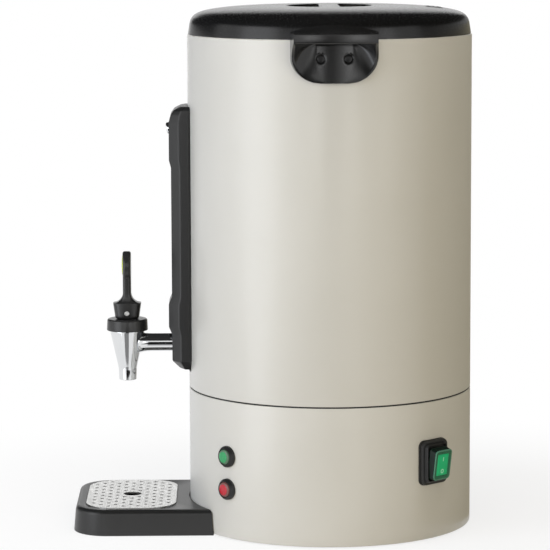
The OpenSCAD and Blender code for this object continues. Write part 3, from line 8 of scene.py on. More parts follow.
# %% Load the frame
import json
import bmesh
import bpy
import numpy as np
from mathutils import Matrix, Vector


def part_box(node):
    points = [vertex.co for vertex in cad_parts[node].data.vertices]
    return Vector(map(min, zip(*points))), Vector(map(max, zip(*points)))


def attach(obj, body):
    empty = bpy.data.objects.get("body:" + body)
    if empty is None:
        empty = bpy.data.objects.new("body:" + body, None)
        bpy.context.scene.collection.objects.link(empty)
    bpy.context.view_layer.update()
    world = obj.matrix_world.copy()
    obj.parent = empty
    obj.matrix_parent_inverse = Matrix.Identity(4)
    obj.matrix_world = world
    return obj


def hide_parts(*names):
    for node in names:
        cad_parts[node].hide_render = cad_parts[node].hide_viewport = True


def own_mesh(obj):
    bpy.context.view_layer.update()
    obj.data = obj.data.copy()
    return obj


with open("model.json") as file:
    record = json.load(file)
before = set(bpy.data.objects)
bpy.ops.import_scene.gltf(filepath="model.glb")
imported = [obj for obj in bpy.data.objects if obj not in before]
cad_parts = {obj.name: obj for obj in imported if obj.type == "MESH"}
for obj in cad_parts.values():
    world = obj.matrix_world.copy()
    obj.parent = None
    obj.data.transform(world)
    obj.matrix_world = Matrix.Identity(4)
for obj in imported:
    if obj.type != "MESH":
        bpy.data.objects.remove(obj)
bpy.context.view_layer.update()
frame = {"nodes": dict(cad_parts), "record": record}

MM = 0.001

# %% [markdown]
# ## Measures from the frame
# Each new surface takes its place from the box of the CAD node that it stands for,
# so a change in the CAD moves the surface too. Only the small radii and steps that a
# box can't tell are written here as named values.

# %% Measures


def span(node):
    """Lowest and highest corner of a CAD node's box, in millimetres."""
    low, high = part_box(node)
    return np.array(low) / MM, np.array(high) / MM


shell_low, shell_high = span("outer_shell")
base_low, base_high = span("base_housing")
BODY_R = shell_high[0]
RIM_R = span("inner_tank")[1][0]
STEEL, FORWARD = 1.2, (0, -1, 0)  # gauge of the sheet, and the way that the tap points
print("body radius", round(BODY_R, 1), "shell from", shell_low[2].round(1), "to", shell_high[2].round(1))

# %% [markdown]
# ## Tools for surfaces
# Nearly every piece of the urn is one of two things: a profile turned about an axis,
# or a row of rings laid one after another. Both are grids of points. So one function
# rounds a profile, one spaces its points evenly, one turns it, one presses softly into a
# surface, one sets a form in its place, two number the grid's faces, and one makes the mesh.

# %% Tools for surfaces
STRAIGHT = 1e-3  # radians: a corner that turns by less than this needs no arc
MERGE = 2e-6  # metres: points that lie nearer than this become one


def rounded(corners, radii, steps=6, closed=False):
    """Line through the corners, with an arc in each corner's place. The arc touches both
    sides at radius / tan(half the corner's angle) from the corner, and its points turn
    evenly about the arc's centre."""
    p = np.asarray(corners, float)
    line = []
    for i, radius in enumerate(np.broadcast_to(np.asarray(radii, float), len(p))):
        to_last, to_next = p[i - 1] - p[i], p[(i + 1) % len(p)] - p[i]
        to_last, to_next = to_last / np.linalg.norm(to_last), to_next / np.linalg.norm(to_next)
        half = np.arccos(np.clip(to_last @ to_next, -1, 1)) / 2
        turn = np.pi - 2 * half
        at_end = not closed and i in (0, len(p) - 1)
        if radius <= 0 or at_end or turn < STRAIGHT:
            line.append(p[i][None])
            continue
        middle = to_last + to_next
        centre = p[i] + middle / np.linalg.norm(middle) * radius / np.sin(half)
        first = p[i] + to_last * radius / np.tan(half) - centre
        last = p[i] + to_next * radius / np.tan(half) - centre
        t = np.linspace(0, 1, steps + 1)[:, None]
        line.append(centre + (first * np.sin((1 - t) * turn) + last * np.sin(t * turn)) / np.sin(turn))
    return np.concatenate(line)


def even(line, count):
    """The same line with `count` points at equal steps along its length."""
    run = np.concatenate([[0], np.cumsum(np.linalg.norm(np.diff(line, axis=0), axis=1))])
    at = np.linspace(0, run[-1], count)
    return np.stack([np.interp(at, run, column) for column in line.T], axis=-1)


def turned(profile, turns=96):
    """Surface of revolution about Z: (r, z) goes to (r cos t, r sin t, z). Rows follow the
    profile and columns the angle t, which is even or given."""
    t = np.linspace(0, 2 * np.pi, turns, endpoint=False) if np.isscalar(turns) else turns
    r, z = np.asarray(profile, float).T
    return np.stack([np.outer(r, np.cos(t)), np.outer(r, np.sin(t)), np.outer(z, 0 * t + 1)], axis=-1)


def step(value, soft):
    """Smooth rise from 0 to 1 as a length goes from -soft to soft."""
    t = np.clip(value / soft / 2 + 0.5, 0, 1)
    return t * t * (3 - 2 * t)


def laid(points, origin, out):
    """Points given as (across, up, out), set at an origin so that the third axis lies along the
    unit vector `out`. Across is level, z x out, and up stands square to both, out x across."""
    across = np.cross((0, 0, 1), out)
    across = across / np.linalg.norm(across)
    return np.asarray(origin, float) + points @ np.array([across, np.cross(out, across), out], float)


def quads(grid, close_rows=False, close_columns=True, keep=None):
    """Four corner numbers for each cell of a grid of points. A closed direction joins its
    last line to its first; `keep` is a mask of the cells that stay."""
    number = np.arange(grid.shape[0] * grid.shape[1]).reshape(grid.shape[:2])
    below = np.roll(number, -1, axis=0)
    cells = np.stack([number, np.roll(number, -1, axis=1), np.roll(below, -1, axis=1), below], axis=-1)
    cells = cells[: None if close_rows else -1, : None if close_columns else -1]
    return cells.reshape(-1, 4) if keep is None else cells[keep]


def hoop(grid):
    """A grid and its faces, with the last row joined to the first as in a closed ring."""
    return grid, quads(grid, close_rows=True)


def piece(name, parts, finish, body="urn", instead=(), open_sheet=False, crease=35):
    """One object at the origin from parts in millimetres, each a grid or a grid with its faces:
    points that meet are merged, faces are turned outwards, and edges sharper than `crease`
    degrees stay sharp."""
    points, faces, start = [], [], 0
    for part in parts:
        grid, cells = part if isinstance(part, tuple) else (part, quads(part))
        points.append(grid.reshape(-1, 3) * MM)
        faces.append(cells + start)
        start += len(points[-1])
    mesh = bpy.data.meshes.new(name)
    mesh.from_pydata(np.concatenate(points).tolist(), [], np.concatenate(faces).tolist())
    work = bmesh.new()
    work.from_mesh(mesh)
    bmesh.ops.remove_doubles(work, verts=work.verts, dist=MERGE)
    bmesh.ops.recalc_face_normals(work, faces=work.faces)
    unshared = sum(len(edge.link_faces) != 2 for edge in work.edges)
    work.to_mesh(mesh)
    work.free()
    mesh.shade_smooth()
    mesh.set_sharp_from_angle(angle=np.radians(crease))
    mesh.materials.append(finish)
    made = bpy.data.objects.new(name, mesh)
    bpy.context.collection.objects.link(made)
    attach(made, body)
    if instead:
        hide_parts(*instead)
    note = "open edges left on purpose" if open_sheet else f"{unshared} edges not shared by two faces"
    print(f"{name}: {len(mesh.vertices)} points, {len(mesh.polygons)} faces, {note}")
    return made


# %% [markdown]
# ## Colour and one node at a time
# Colours are written as sRGB hex, as a colour picker shows them, and Blender's shaders
# want linear light, so one function changes them. Another adds a node with its settings
# and its inputs, each a value or another node's output. Three short ones mix two colours,
# empty a tree of nodes, and turn millimetres into the scale of a pattern.

# %% Colour and nodes


def linear(code):
    """sRGB hex to linear RGBA: v / 12.92 below 0.04045, else ((v + 0.055) / 1.055) ^ 2.4."""
    v = np.array([int(code[i : i + 2], 16) for i in (1, 3, 5)]) / 255
    return [*np.where(v < 0.04045, v / 12.92, ((v + 0.055) / 1.055) ** 2.4), 1.0]


def add(tree, kind, settings=None, inputs=None):
    """Adds one node: settings are its own properties, inputs are values or sockets to link."""
    made = tree.nodes.new(kind)
    for name, value in (settings or {}).items():
        setattr(made, name, value)
    for name, value in (inputs or {}).items():
        if isinstance(value, bpy.types.NodeSocket):
            tree.links.new(value, made.inputs[name])
        else:
            made.inputs[name].default_value = value
    return made


def blend(tree, share, one, two):
    """The colour that lies between two hex colours at a share."""
    mix = add(tree, "ShaderNodeMix", {"data_type": "RGBA"}, {0: share, 6: linear(one), 7: linear(two)})
    return mix.outputs[2]


def emptied(block):
    """The node tree of a material or world, without its first nodes."""
    block.use_nodes = True
    block.node_tree.nodes.clear()
    return block.node_tree


def per(size):
    """Pattern scale for a feature of `size` millimetres on Object coordinates in metres."""
    return 1 / (size * MM)


# %% [markdown]
# ## One recipe for most finishes
# A moulded, rolled or plated surface shows three things: a slow drift of colour, a fine
# grain that catches the light, and a gloss that isn't quite even. One recipe makes all
# three from two noises, and each material below feeds it its own colours and sizes.

# %% The recipe
NOISE_LOW, NOISE_HIGH = 0.3, 0.7  # nearly all of a noise lies between these


def finish(name, colours, drift, grain, depth, rough, stretch=(1, 1, 1), **sockets):
    """Noise of `drift` mm mixes the two colours; noise of `grain` mm lifts the surface by
    `depth` mm and moves the roughness within `rough`; `stretch` draws both out along an axis."""
    material = bpy.data.materials.new(name)
    material.use_nodes = True
    tree = material.node_tree
    shader = tree.nodes["Principled BSDF"]
    where = add(tree, "ShaderNodeTexCoord").outputs["Object"]
    drawn = add(tree, "ShaderNodeMapping", {}, {"Vector": where, "Scale": [1 / s for s in stretch]})
    slow, fine = [add(tree, "ShaderNodeTexNoise", {},
                      {"Vector": drawn.outputs[0], "Scale": per(size), "Detail": detail}).outputs[0]
                  for size, detail in ((drift, 3.0), (grain, 2.0))]
    tint = blend(tree, slow, *colours)
    gloss = add(tree, "ShaderNodeMapRange", {},
                {"Value": fine, "From Min": NOISE_LOW, "From Max": NOISE_HIGH,
                 "To Min": rough[0], "To Max": rough[1]})
    relief = add(tree, "ShaderNodeBump", {}, {"Height": fine, "Distance": depth * MM, "Strength": 1.0})
    tree.links.new(tint, shader.inputs["Base Color"])
    tree.links.new(gloss.outputs[0], shader.inputs["Roughness"])
    tree.links.new(relief.outputs[0], shader.inputs["Normal"])
    for socket, value in sockets.items():
        shader.inputs[socket.replace("_", " ")].default_value = value
    return material


# %% [markdown]
# ## The finishes of the urn
# The outer walls are rolled steel with a baked satin enamel. The lid, handles, panel and
# tray are moulded ABS whose mould was spark-eroded, which leaves a fine even grain. Rubber
# and silicone are duller. The tap is chrome plate over polished brass, so nearly a mirror.
# The sheet metal inside is stainless steel, brushed along one direction. Grains finer than
# about half a millimetre would vanish at this size, so they are drawn at that size.

# %% Enamel, plastics and rubber
# Baked enamel: orange peel of about 2 mm from the spray, satin gloss under a thin clear skin
enamel = finish("satin_enamel_on_steel", ("#cecbc2", "#d3d0c8"), 60, 1.8, 0.012, (0.34, 0.42),
                Coat_Weight=0.35, Coat_Roughness=0.22)
# Spark-eroded ABS: matt grain, dark grey rather than black where light falls on it
abs_black = finish("moulded_abs_black", ("#191919", "#1f1f1f"), 30, 0.6, 0.02, (0.3, 0.4))
# ABS from a finer mould on the lid, which shows the studio as a soft grey
abs_lid = finish("moulded_abs_lid", ("#101010", "#131313"), 45, 0.7, 0.006, (0.22, 0.28),
                 Specular_IOR_Level=0.4)
# ABS from a polished part of the mould: the handles are smooth to the fingers
abs_handle = finish("moulded_abs_handle", ("#151515", "#1b1b1b"), 20, 0.6, 0.008, (0.18, 0.25))
# The same ABS, nearly as smooth, on the lever and the bonnet below it
abs_lever = finish("moulded_abs_lever", ("#1f1f1f", "#262626"), 20, 0.6, 0.008, (0.27, 0.34))
# Glass-filled nylon of the switch, lamps and gauge blocks: drier than ABS
nylon_black = finish("glass_filled_nylon", ("#121212", "#1a1a1a"), 12, 0.5, 0.03, (0.4, 0.52))
# Nitrile rubber: moulded, dull, a little dusty
rubber = finish("nitrile_rubber", ("#161616", "#202020"), 8, 0.8, 0.04, (0.6, 0.75))
print("finishes so far:", len(bpy.data.materials))

# %% Metals
# Brushed stainless steel: streaks along X from the belt, drawn half a millimetre wide
stainless = finish("brushed_stainless_steel", ("#dcdcda", "#e8e8e6"), 18, 0.5, 0.006, (0.24, 0.36),
                   stretch=(14, 1, 1), Metallic=1.0)
# Blackened steel of the handle screws
black_steel = finish("blackened_steel", ("#191919", "#242424"), 2, 0.5, 0.01, (0.28, 0.4),
                     Metallic=0.3)
# Chrome plate: polished before plating, with faint wiping marks
chrome = finish("chrome_plate_on_brass", ("#dadcde", "#e4e5e6"), 25, 3.0, 0.002, (0.05, 0.1),
                Metallic=1.0)
# Turned pin of the lever: cut to length and left satin at its ends
pin_steel = finish("turned_pin_steel", ("#d0d0ce", "#dcdcda"), 4, 0.5, 0.004, (0.4, 0.5),
                   Metallic=1.0)
# Die-cast aluminium of the heating plate: sand-grained
aluminium = finish("cast_aluminium", ("#a9aaab", "#b8b9ba"), 14, 1.1, 0.05, (0.42, 0.55),
                   Metallic=1.0)
print("finishes so far:", len(bpy.data.materials))

# %% Seals, wiring and glass
# Food-grade silicone: milky and soft
silicone = finish("food_silicone", ("#cfcabd", "#dcd8cc"), 10, 1.0, 0.02, (0.45, 0.55),
                  Subsurface_Weight=0.1)
# Steatite ceramic of the terminals: fired, unglazed
ceramic = finish("steatite_ceramic", ("#d9d4c6", "#e6e2d6"), 9, 0.7, 0.03, (0.5, 0.65))
# PVC wire covering: extruded, smooth
wire_pvc = finish("extruded_wire_pvc", ("#a83a24", "#b84a2f"), 20, 1.5, 0.01, (0.3, 0.4))
# Borosilicate gauge tube: drawn glass, clear, with a very slight ripple along its length
glass = finish("borosilicate_glass", ("#f4f8f6", "#ffffff"), 40, 6.0, 0.003, (0.0, 0.03),
               stretch=(1, 1, 6), Transmission_Weight=1.0, IOR=1.47)
print("finishes so far:", len(bpy.data.materials))

# %% Coloured plastics of the lever, switch and lamps
# Tinted polycarbonate of the lever's disc: gloss moulded
lime = finish("lime_polycarbonate", ("#b6c400", "#cbd51a"), 7, 2.0, 0.006, (0.16, 0.24),
              Coat_Weight=0.4, Coat_Roughness=0.08)
# Soft PVC boot of the switch: translucent, a little cloudy, and painted nearly black as shade, which shows
# on its sides
boot_pvc_painted_shade = finish("soft_pvc_boot_painted_shade", ("#06150f", "#0a1d15"), 6, 0.8, 0.01, (0.3, 0.4),
                  Specular_IOR_Level=0.3, Subsurface_Weight=0.05)
# The flat band round its panel is painted a mid green, lighter than the sides, as the lit face of the boot
boot_band_painted_light = finish("soft_pvc_band_painted_light", ("#28634a", "#306f54"), 4, 0.8, 0.01, (0.36, 0.46),
                   Specular_IOR_Level=0.3)
# Its rounded edge is painted a paler green as a highlight
boot_edge_painted_highlight = finish("soft_pvc_edge_painted_highlight", ("#4b8068", "#588d74"), 4, 0.8, 0.01, (0.26, 0.36),
                   Subsurface_Weight=0.15)
# The rocker's own colour shows through the middle of the boot
boot_panel = finish("soft_pvc_panel", ("#1fbd7a", "#27c584"), 6, 0.8, 0.01, (0.4, 0.5),
                    Specular_IOR_Level=0.3)
# Green ABS of the rocker below the boot
rocker_abs = finish("moulded_abs_green", ("#1d7a4f", "#23895a"), 8, 0.6, 0.02, (0.3, 0.4))
# Pad-printed ink of the two switch marks, seen through the green
mark_ink = finish("pale_print_ink", ("#94e3c0", "#a6efcf"), 3, 0.5, 0.006, (0.4, 0.5))
# Acrylic lamp lenses: moulded with a bright prism face inside
LENS_GRAIN = (3, 1.0, 0.02, (0.2, 0.28))
LENS_SKIN = {"Coat_Weight": 0.1, "Coat_Roughness": 0.1}
green_acrylic = finish("green_acrylic", ("#1f8e50", "#30a263"), *LENS_GRAIN, **LENS_SKIN)
red_acrylic = finish("red_acrylic", ("#b41426", "#c42434"), *LENS_GRAIN, **LENS_SKIN)
# The rims of the lenses lie over the dark bezel and look smoked
green_rim = finish("smoked_green_acrylic", ("#48664f", "#55775d"), *LENS_GRAIN)
red_rim = finish("smoked_red_acrylic", ("#6a4340", "#7a504b"), *LENS_GRAIN)
print("finishes in all:", len(bpy.data.materials))

# %% [markdown]
# ## Every CAD node gets its finish
# Most inner pieces keep their CAD mesh, which is already right. The record names a
# material slot for each node, so a table from slot to finish dresses them all at once.

# %% Dress the CAD nodes
FINISH_OF_SLOT = {
    "painted_steel": enamel, "black_plastic": abs_black, "control_plastic": nylon_black,
    "black_rubber": rubber, "stainless_steel": stainless, "black_steel": black_steel,
    "chrome_plate": chrome, "heat_plate_aluminium": aluminium, "silicone": silicone,
    "ceramic_white": ceramic, "wire_insulation": wire_pvc, "gauge_glass": glass,
    "lime_plastic": lime, "green_lens": green_acrylic, "red_lens": red_acrylic,
    "green_boot": boot_pvc_painted_shade, "green_rocker": rocker_abs,
}
for part in frame["record"]["subparts"]:
    mesh = frame["nodes"][part["node"]].data
    mesh.materials.clear()
    mesh.materials.append(FINISH_OF_SLOT[part["material_slot"]])
print("dressed", len(frame["nodes"]), "CAD nodes")

# %% [markdown]
# ## The steel shell
# A sheet rolled to a drum and turned in at both ends. It is a closed profile turned about
# Z, with a round of one millimetre where the sheet bends, which gives the thin light line
# at the rim that a sharp CAD edge can't show.

# %% Shell
BEND, SEAM_BEND, FLANGE, DRUM_TURNS = 1.0, 0.5, 14, 288
FLANGE_R = BODY_R - FLANGE
low, high = shell_low[2], shell_high[2]
shell_line = rounded(
    [(FLANGE_R, low), (BODY_R, low), (BODY_R, high), (RIM_R, high), (RIM_R, high - STEEL),
     (BODY_R - STEEL, high - STEEL), (BODY_R - STEEL, low + STEEL), (FLANGE_R, low + STEEL)],
    [0, SEAM_BEND, BEND, 0, 0, 0, 0, 0], closed=True)
piece("shell_drum", [hoop(turned(shell_line, DRUM_TURNS))], enamel,
      instead=["outer_shell"])

# %% [markdown]
# ## The base
# The same drum below the seam, with a slot in front for the drip tray's tongue. The cells
# of the slot are left out of the grid, and a Solidify modifier gives the sheet its gauge,
# which also closes the slot's edges. A line of points just outside the slot keeps the
# smooth shading of its edges off the rest of the wall.

# %% Base
TONGUE_HALF, TONGUE_LOW, TONGUE_HIGH, TONGUE_SLACK, SLOT_EDGE = 20.0, 8.5, 13.5, 0.4, 0.5
FOOT_HEM, FOOT_BEND, ON_WALL = 2, 0.8, 0.01
low, high = base_low[2], base_high[2]
slot_low, slot_high = TONGUE_LOW - TONGUE_SLACK, TONGUE_HIGH + TONGUE_SLACK
slot_angle = np.arcsin((TONGUE_HALF + TONGUE_SLACK) / BODY_R)
slot_at = np.array([-np.pi / 2 - slot_angle, -np.pi / 2 + slot_angle])
beside_slot = slot_at + np.array([-1, 1]) * SLOT_EDGE / BODY_R
round_drum = np.linspace(-np.pi, np.pi, DRUM_TURNS, endpoint=False)
angles = np.sort(np.concatenate([round_drum, slot_at, beside_slot]))
base_line = rounded(
    [(BODY_R - FOOT_HEM, low), (BODY_R, low), (BODY_R, slot_low - SLOT_EDGE), (BODY_R, slot_low),
     (BODY_R, slot_high), (BODY_R, slot_high + SLOT_EDGE), (BODY_R, high), (FLANGE_R, high)],
    [0, FOOT_BEND, 0, 0, 0, 0, SEAM_BEND, 0])
grid = turned(base_line, angles)
row_mid = (base_line[:-1, 1] + base_line[1:, 1]) / 2
column_mid = angles + (np.roll(angles, -1) - angles) % (2 * np.pi) / 2
on_wall = base_line[1:, 0] > BODY_R - ON_WALL
in_slot = np.outer((row_mid > slot_low) & (row_mid < slot_high) & on_wall,
                   (column_mid > slot_at[0]) & (column_mid < slot_at[1]))
base = piece("base_drum", [(grid, quads(grid, keep=~in_slot))], enamel,
             instead=["base_housing"], open_sheet=True)
wall = base.modifiers.new("sheet gauge", "SOLIDIFY")
wall.thickness, wall.offset, wall.use_even_offset = STEEL * MM, -1, True

# %% [markdown]
# ## The lid
# A moulded cover with a drafted side, a soft shoulder and a low crown, and two finger
# wells with a bar between them. The side and crown are turned. Each well is a row of
# D-shaped rings: the outermost is half of a circle that the turned part ends on, so the
# two grids share their points, and the rings shrink, roll over the edge and run down to
# the floor of the well.

# %% Lid
lid_low, lid_high = span("lid_cover")
LID_R, LID_TOP = lid_high[0], lid_high[2]
LID_Z = span("lid_seal")[0][2]
PLUG_Z = lid_low[2]
CROWN_R, CROWN_DROP, CROWN_POWER = 95.5, 2.8, 5.2
WELL_R, WELL_BAR, WELL_DEPTH = 34.0, 8.25, 14.0
WELL_FIELD_R, WELL_EDGE, WELL_FOOT, WELL_CORNER = 39.0, 1.4, 3.0, 2.0
LID_TURNS = 192


def crown(r):
    """Height of the lid's top at radius r: it falls with a power of the radius."""
    return LID_TOP - CROWN_DROP * (r / CROWN_R) ** CROWN_POWER


def bezier(p, count):
    """Cubic curve with four control points: (1-t)^3 p0 + 3 (1-t)^2 t p1 + 3 (1-t) t^2 p2 + t^3 p3."""
    t = np.linspace(0, 1, count)[:, None]
    return (1 - t) ** 3 * p[0] + 3 * (1 - t) ** 2 * t * p[1] + 3 * (1 - t) * t**2 * p[2] + t**3 * p[3]


def well_ring(radius, bar, corner, arc_points, corner_points=6, bar_points=24):
    """A D: an arc of `radius` about the middle, cut by the line y = bar, with rounded corners.
    A corner's centre lies `corner` inside both the arc and the line."""
    x, y = np.sqrt((radius - corner) ** 2 - (bar + corner) ** 2), bar + corner
    meet = np.arctan2(y, x)
    bend = np.linspace(-np.pi / 2, meet, corner_points, endpoint=False)
    sweep = np.linspace(meet, np.pi - meet, arc_points)
    right = np.stack([x + corner * np.cos(bend), y + corner * np.sin(bend)], -1)
    arc = radius * np.stack([np.cos(sweep), np.sin(sweep)], -1)
    left = right[::-1] * [-1, 1]
    chord = np.stack([np.linspace(-x, x, bar_points + 2)[1:-1], np.full(bar_points, bar)], -1)
    return np.concatenate([right, arc, left, chord])


def well_grid(side):
    """Rings from the half circle to the well's edge, over a small round, down the wall, round
    the floor's edge and to the middle. `side` is +1 or -1 along Y."""
    floor, arc_points = LID_TOP - WELL_DEPTH, LID_TURNS // 2 + 1
    to_edge = [(s, 0.0, 0.0) for s in np.linspace(0, 1, 7)]
    over = [(1.0, WELL_EDGE * np.sin(a), WELL_EDGE * (1 - np.cos(a)))
            for a in np.radians([18, 36, 54, 72, 90])]
    rings = []
    for share, inset, drop in to_edge + over:
        grow = WELL_EDGE * share - inset
        ring = well_ring(WELL_FIELD_R + (WELL_R - WELL_FIELD_R) * share + grow, WELL_BAR * share - grow,
                         WELL_CORNER * share, arc_points)
        rings.append(np.column_stack([ring, crown(np.hypot(*ring.T)) - drop]))
    wall_top = rings[-1]
    for share in (0.35, 0.7):
        ring = wall_top.copy()
        ring[:, 2] = wall_top[:, 2] + (floor + WELL_FOOT - wall_top[:, 2]) * share
        rings.append(ring)
    for a in np.radians([0, 22.5, 45, 67.5, 90]):
        inset = WELL_FOOT * (1 - np.cos(a))
        ring = well_ring(WELL_R - inset, WELL_BAR + inset, WELL_CORNER, arc_points)
        rings.append(np.column_stack([ring, np.full(len(ring), floor + WELL_FOOT * (1 - np.sin(a)))]))
    middle = np.array([0, (WELL_R + WELL_BAR) / 2, floor])
    rings += [middle + (rings[-1] - middle) * share for share in (0.6, 0.25, 0.0)]
    return np.array(rings) * [1, side, 1]


PLUG_WALL, WEB_Z, ROOF_Z = 2.4, LID_Z + 1.8, LID_Z + 4
SKIRT_IN, SKIRT_Z = LID_R - 1.7, LID_Z - 1.0
SIDE_TOP, SIDE_PULL, CROWN_PULL_R = (LID_R - 1.2, LID_Z + 6.9), (LID_R - 2.4, LID_Z + 14.8), 106.0
PLUG_R = span("lid_liner")[1][0] + PLUG_WALL
under = rounded([(0, ROOF_Z), (PLUG_R - PLUG_WALL, ROOF_Z), (PLUG_R - PLUG_WALL, PLUG_Z),
                 (PLUG_R, PLUG_Z), (PLUG_R, WEB_Z), (SKIRT_IN, WEB_Z), (SKIRT_IN, SKIRT_Z),
                 (LID_R, SKIRT_Z), SIDE_TOP],
                [0, 0, 0.6, 0.8, 1.0, 0, 0.3, 0.4, 0])
slope = CROWN_DROP * CROWN_POWER / CROWN_R
crown_pull = (CROWN_PULL_R, crown(CROWN_R) - (CROWN_PULL_R - CROWN_R) * slope)
shoulder = bezier(np.array([SIDE_TOP, SIDE_PULL, crown_pull, (CROWN_R, crown(CROWN_R))]), 24)
top_r = np.linspace(CROWN_R, WELL_FIELD_R, 16)
lid_line = np.concatenate([under, shoulder[1:], np.column_stack([top_r, crown(top_r)])[1:]])
piece("lid_cover_skin", [turned(lid_line, LID_TURNS), well_grid(1), well_grid(-1)], abs_lid,
      body="lid", instead=["lid_cover"], crease=40)

# %% [markdown]
# ## The steam vent
# Three narrow slots near the rear edge of the lid let the steam out. They are a field of
# heights over a small plate: the lid's crown, plus a low rim, minus three slots.

# %% Steam vent
VENT_Y, VENT_STEP, VENT_L, VENT_W, VENT_DEPTH, VENT_SOFT = 84.0, 4.0, 16.0, 1.6, 1.6, 0.3
FIELD_X, FIELD_Y, FIELD_SINK, FIELD_RIM = 11, 7.5, 0.25, 0.6
UNDER_R, UNDER_DROP = 95.0, 2.4


def rim_of(field):
    """The points round the border of a grid, in order."""
    return np.concatenate([field[0], field[1:, -1], field[-1, -2::-1], field[-2:0:-1, 0]])


x, y = np.meshgrid(np.linspace(-FIELD_X, FIELD_X, 89),
                   np.linspace(VENT_Y - FIELD_Y, VENT_Y + FIELD_Y, 121))
inside = np.minimum(FIELD_X - np.abs(x), FIELD_Y - np.abs(y - VENT_Y))
slots = sum(step(VENT_W / 2 - np.abs(y - VENT_Y - k * VENT_STEP), VENT_SOFT) for k in (-1, 0, 1))
slots = slots * step(VENT_L / 2 - np.abs(x), VENT_SOFT)
z = crown(np.hypot(x, y)) - FIELD_SINK + FIELD_RIM * step(inside - FIELD_RIM, FIELD_RIM) - VENT_DEPTH * slots
grid = np.stack([x, y, z], -1)
under = np.stack([x, y, np.full_like(z, crown(UNDER_R) - UNDER_DROP)], -1)
border = np.stack([rim_of(grid), rim_of(under)])
piece("lid_vent", [(field, quads(field, close_columns=False)) for field in (grid, under)] + [border],
      abs_lid, body="lid", crease=50)

# %% [markdown]
# ## The side handles
# Each handle is one moulding: a plate against the shell, a lip that the fingers hook
# under, and a thin gusset at each side. It is a grid of profiles. Across the middle the
# profile goes up the plate, out under the lip, round its nose and back over the top; at the
# two sides it is the gusset's hollow edge. Between them one profile runs into the other, so
# the pocket is a smooth scoop. A second sheet of columns on the back closes the form.

# %% Handles
handle_low, handle_high = span("right_handle")
HANDLE_Z, HANDLE_TOP, HANDLE_W = handle_low[2], handle_high[2], handle_high[1]
TIP_R, TIP_W = handle_high[0], 32.25
BACK_R, PLATE_R = BODY_R + 0.2, BODY_R + 3.5
LIP_TOP, LIP_T, NOSE = HANDLE_TOP - 5, 8.0, 1.4
LIP_Z = LIP_TOP - LIP_T
CORNER_R, ARCH_R, BOW_R = 23.0, 102.2, 41.4
GUSSET, SCREW_Y, SCREW_Z = 2.0, 10.6, HANDLE_Z + 19
DIMPLE_R, DIMPLE, DIMPLE_SOFT, SCOOP, SCOOP_POWER = 3.6, 1.1, 0.5, 0.4, 1.6
ALONG, ACROSS, ON_PLATE = 72, 121, 0.1


def handle_width(r, z):
    """Half width at a point of the profile: it rounds off below and narrows towards the tip."""
    fall = np.clip(HANDLE_Z + CORNER_R - z, 0, CORNER_R)
    at_plate = HANDLE_W - CORNER_R + np.sqrt(CORNER_R**2 - fall**2)
    return at_plate * (1 - (1 - TIP_W / HANDLE_W) * (r - BACK_R) / (TIP_R - BACK_R))


def handle_profiles():
    """Two profiles (r, z) of equally many points: up the middle of the pocket, and along the
    gusset's edge, an arc of BOW_R. Also each point's share in the arch of the top edge."""
    edge, crest = (TIP_R - NOSE, LIP_Z), (TIP_R - NOSE - 1, LIP_TOP + 0.1)
    pocket = even(rounded([(PLATE_R, HANDLE_Z), (PLATE_R, LIP_Z), edge], [0, 3, 0], 8), ALONG)
    ends = np.array([(PLATE_R - 0.4, HANDLE_Z), edge])
    chord = ends[1] - ends[0]
    aside = np.array([chord[1], -chord[0]]) / np.linalg.norm(chord)
    centre = ends.mean(axis=0) + aside * np.sqrt(BOW_R**2 - chord @ chord / 4)
    a0, a1 = [np.arctan2(*(p - centre)[::-1]) % (2 * np.pi) for p in ends]
    bow = np.linspace(a0, a1, ALONG)
    gusset = centre + BOW_R * np.stack([np.cos(bow), np.sin(bow)], -1)
    nose = rounded([edge, (TIP_R, LIP_Z), (TIP_R, LIP_TOP), crest], [0, NOSE - 0.1, NOSE - 0.1, 0], 6)[1:]
    rim = rounded([crest, (PLATE_R + 1.2, HANDLE_TOP - 1.6), (PLATE_R + 0.4, HANDLE_TOP),
                   (BACK_R, HANDLE_TOP)], [0, 1.0, 0.7, 0], 5)
    over = np.concatenate([nose, even(rim[:2], 12)[1:], rim[2:]])
    follow = np.clip((TIP_R - over[:, 0]) / (TIP_R - PLATE_R), 0, 1)
    follow[: len(nose)] = 0
    first = np.array([[BACK_R, HANDLE_Z]])
    middle, side = [np.concatenate([first, run, over]) for run in (pocket, gusset)]
    return middle, side, np.concatenate([np.zeros(ALONG + 1), follow])


def handle_grid():
    """Rows follow the profile and columns cross the handle. A point (r, z) at share v of the
    half width w lies at y = v w and x = sqrt(r^2 - y^2), so that the plate hugs the drum; the
    top edge falls by an arc of ARCH_R. The same number of columns lies on the back."""
    middle, side, arch = handle_profiles()
    share = np.linspace(-1, 1, ACROSS)
    scoop = np.clip((np.abs(share) - SCOOP) / (1 - GUSSET / HANDLE_W - SCOOP), 0, 1) ** SCOOP_POWER
    r, z = [middle[:, i : i + 1] + scoop * (side - middle)[:, i : i + 1] for i in (0, 1)]
    y = share * handle_width(r, z)
    z = z - arch[:, None] * (ARCH_R - np.sqrt(ARCH_R**2 - y**2))
    at_screw = np.hypot(np.abs(y) - SCREW_Y, z - SCREW_Z)
    r = r - DIMPLE * step(DIMPLE_R - at_screw, DIMPLE_SOFT) * (r < PLATE_R + ON_PLATE)
    front = np.stack([np.sqrt(r**2 - y**2), y, z], -1)
    height = np.linspace(0, 1, len(middle))[:, None]
    back_z = HANDLE_Z + height * (HANDLE_TOP - HANDLE_Z)
    back_y = share[::-1] * handle_width(BACK_R, back_z)
    back_z = back_z - height * (ARCH_R - np.sqrt(ARCH_R**2 - back_y**2))
    back = np.stack([np.sqrt(BACK_R**2 - back_y**2), back_y, back_z], -1)
    return np.concatenate([front, back], axis=1)


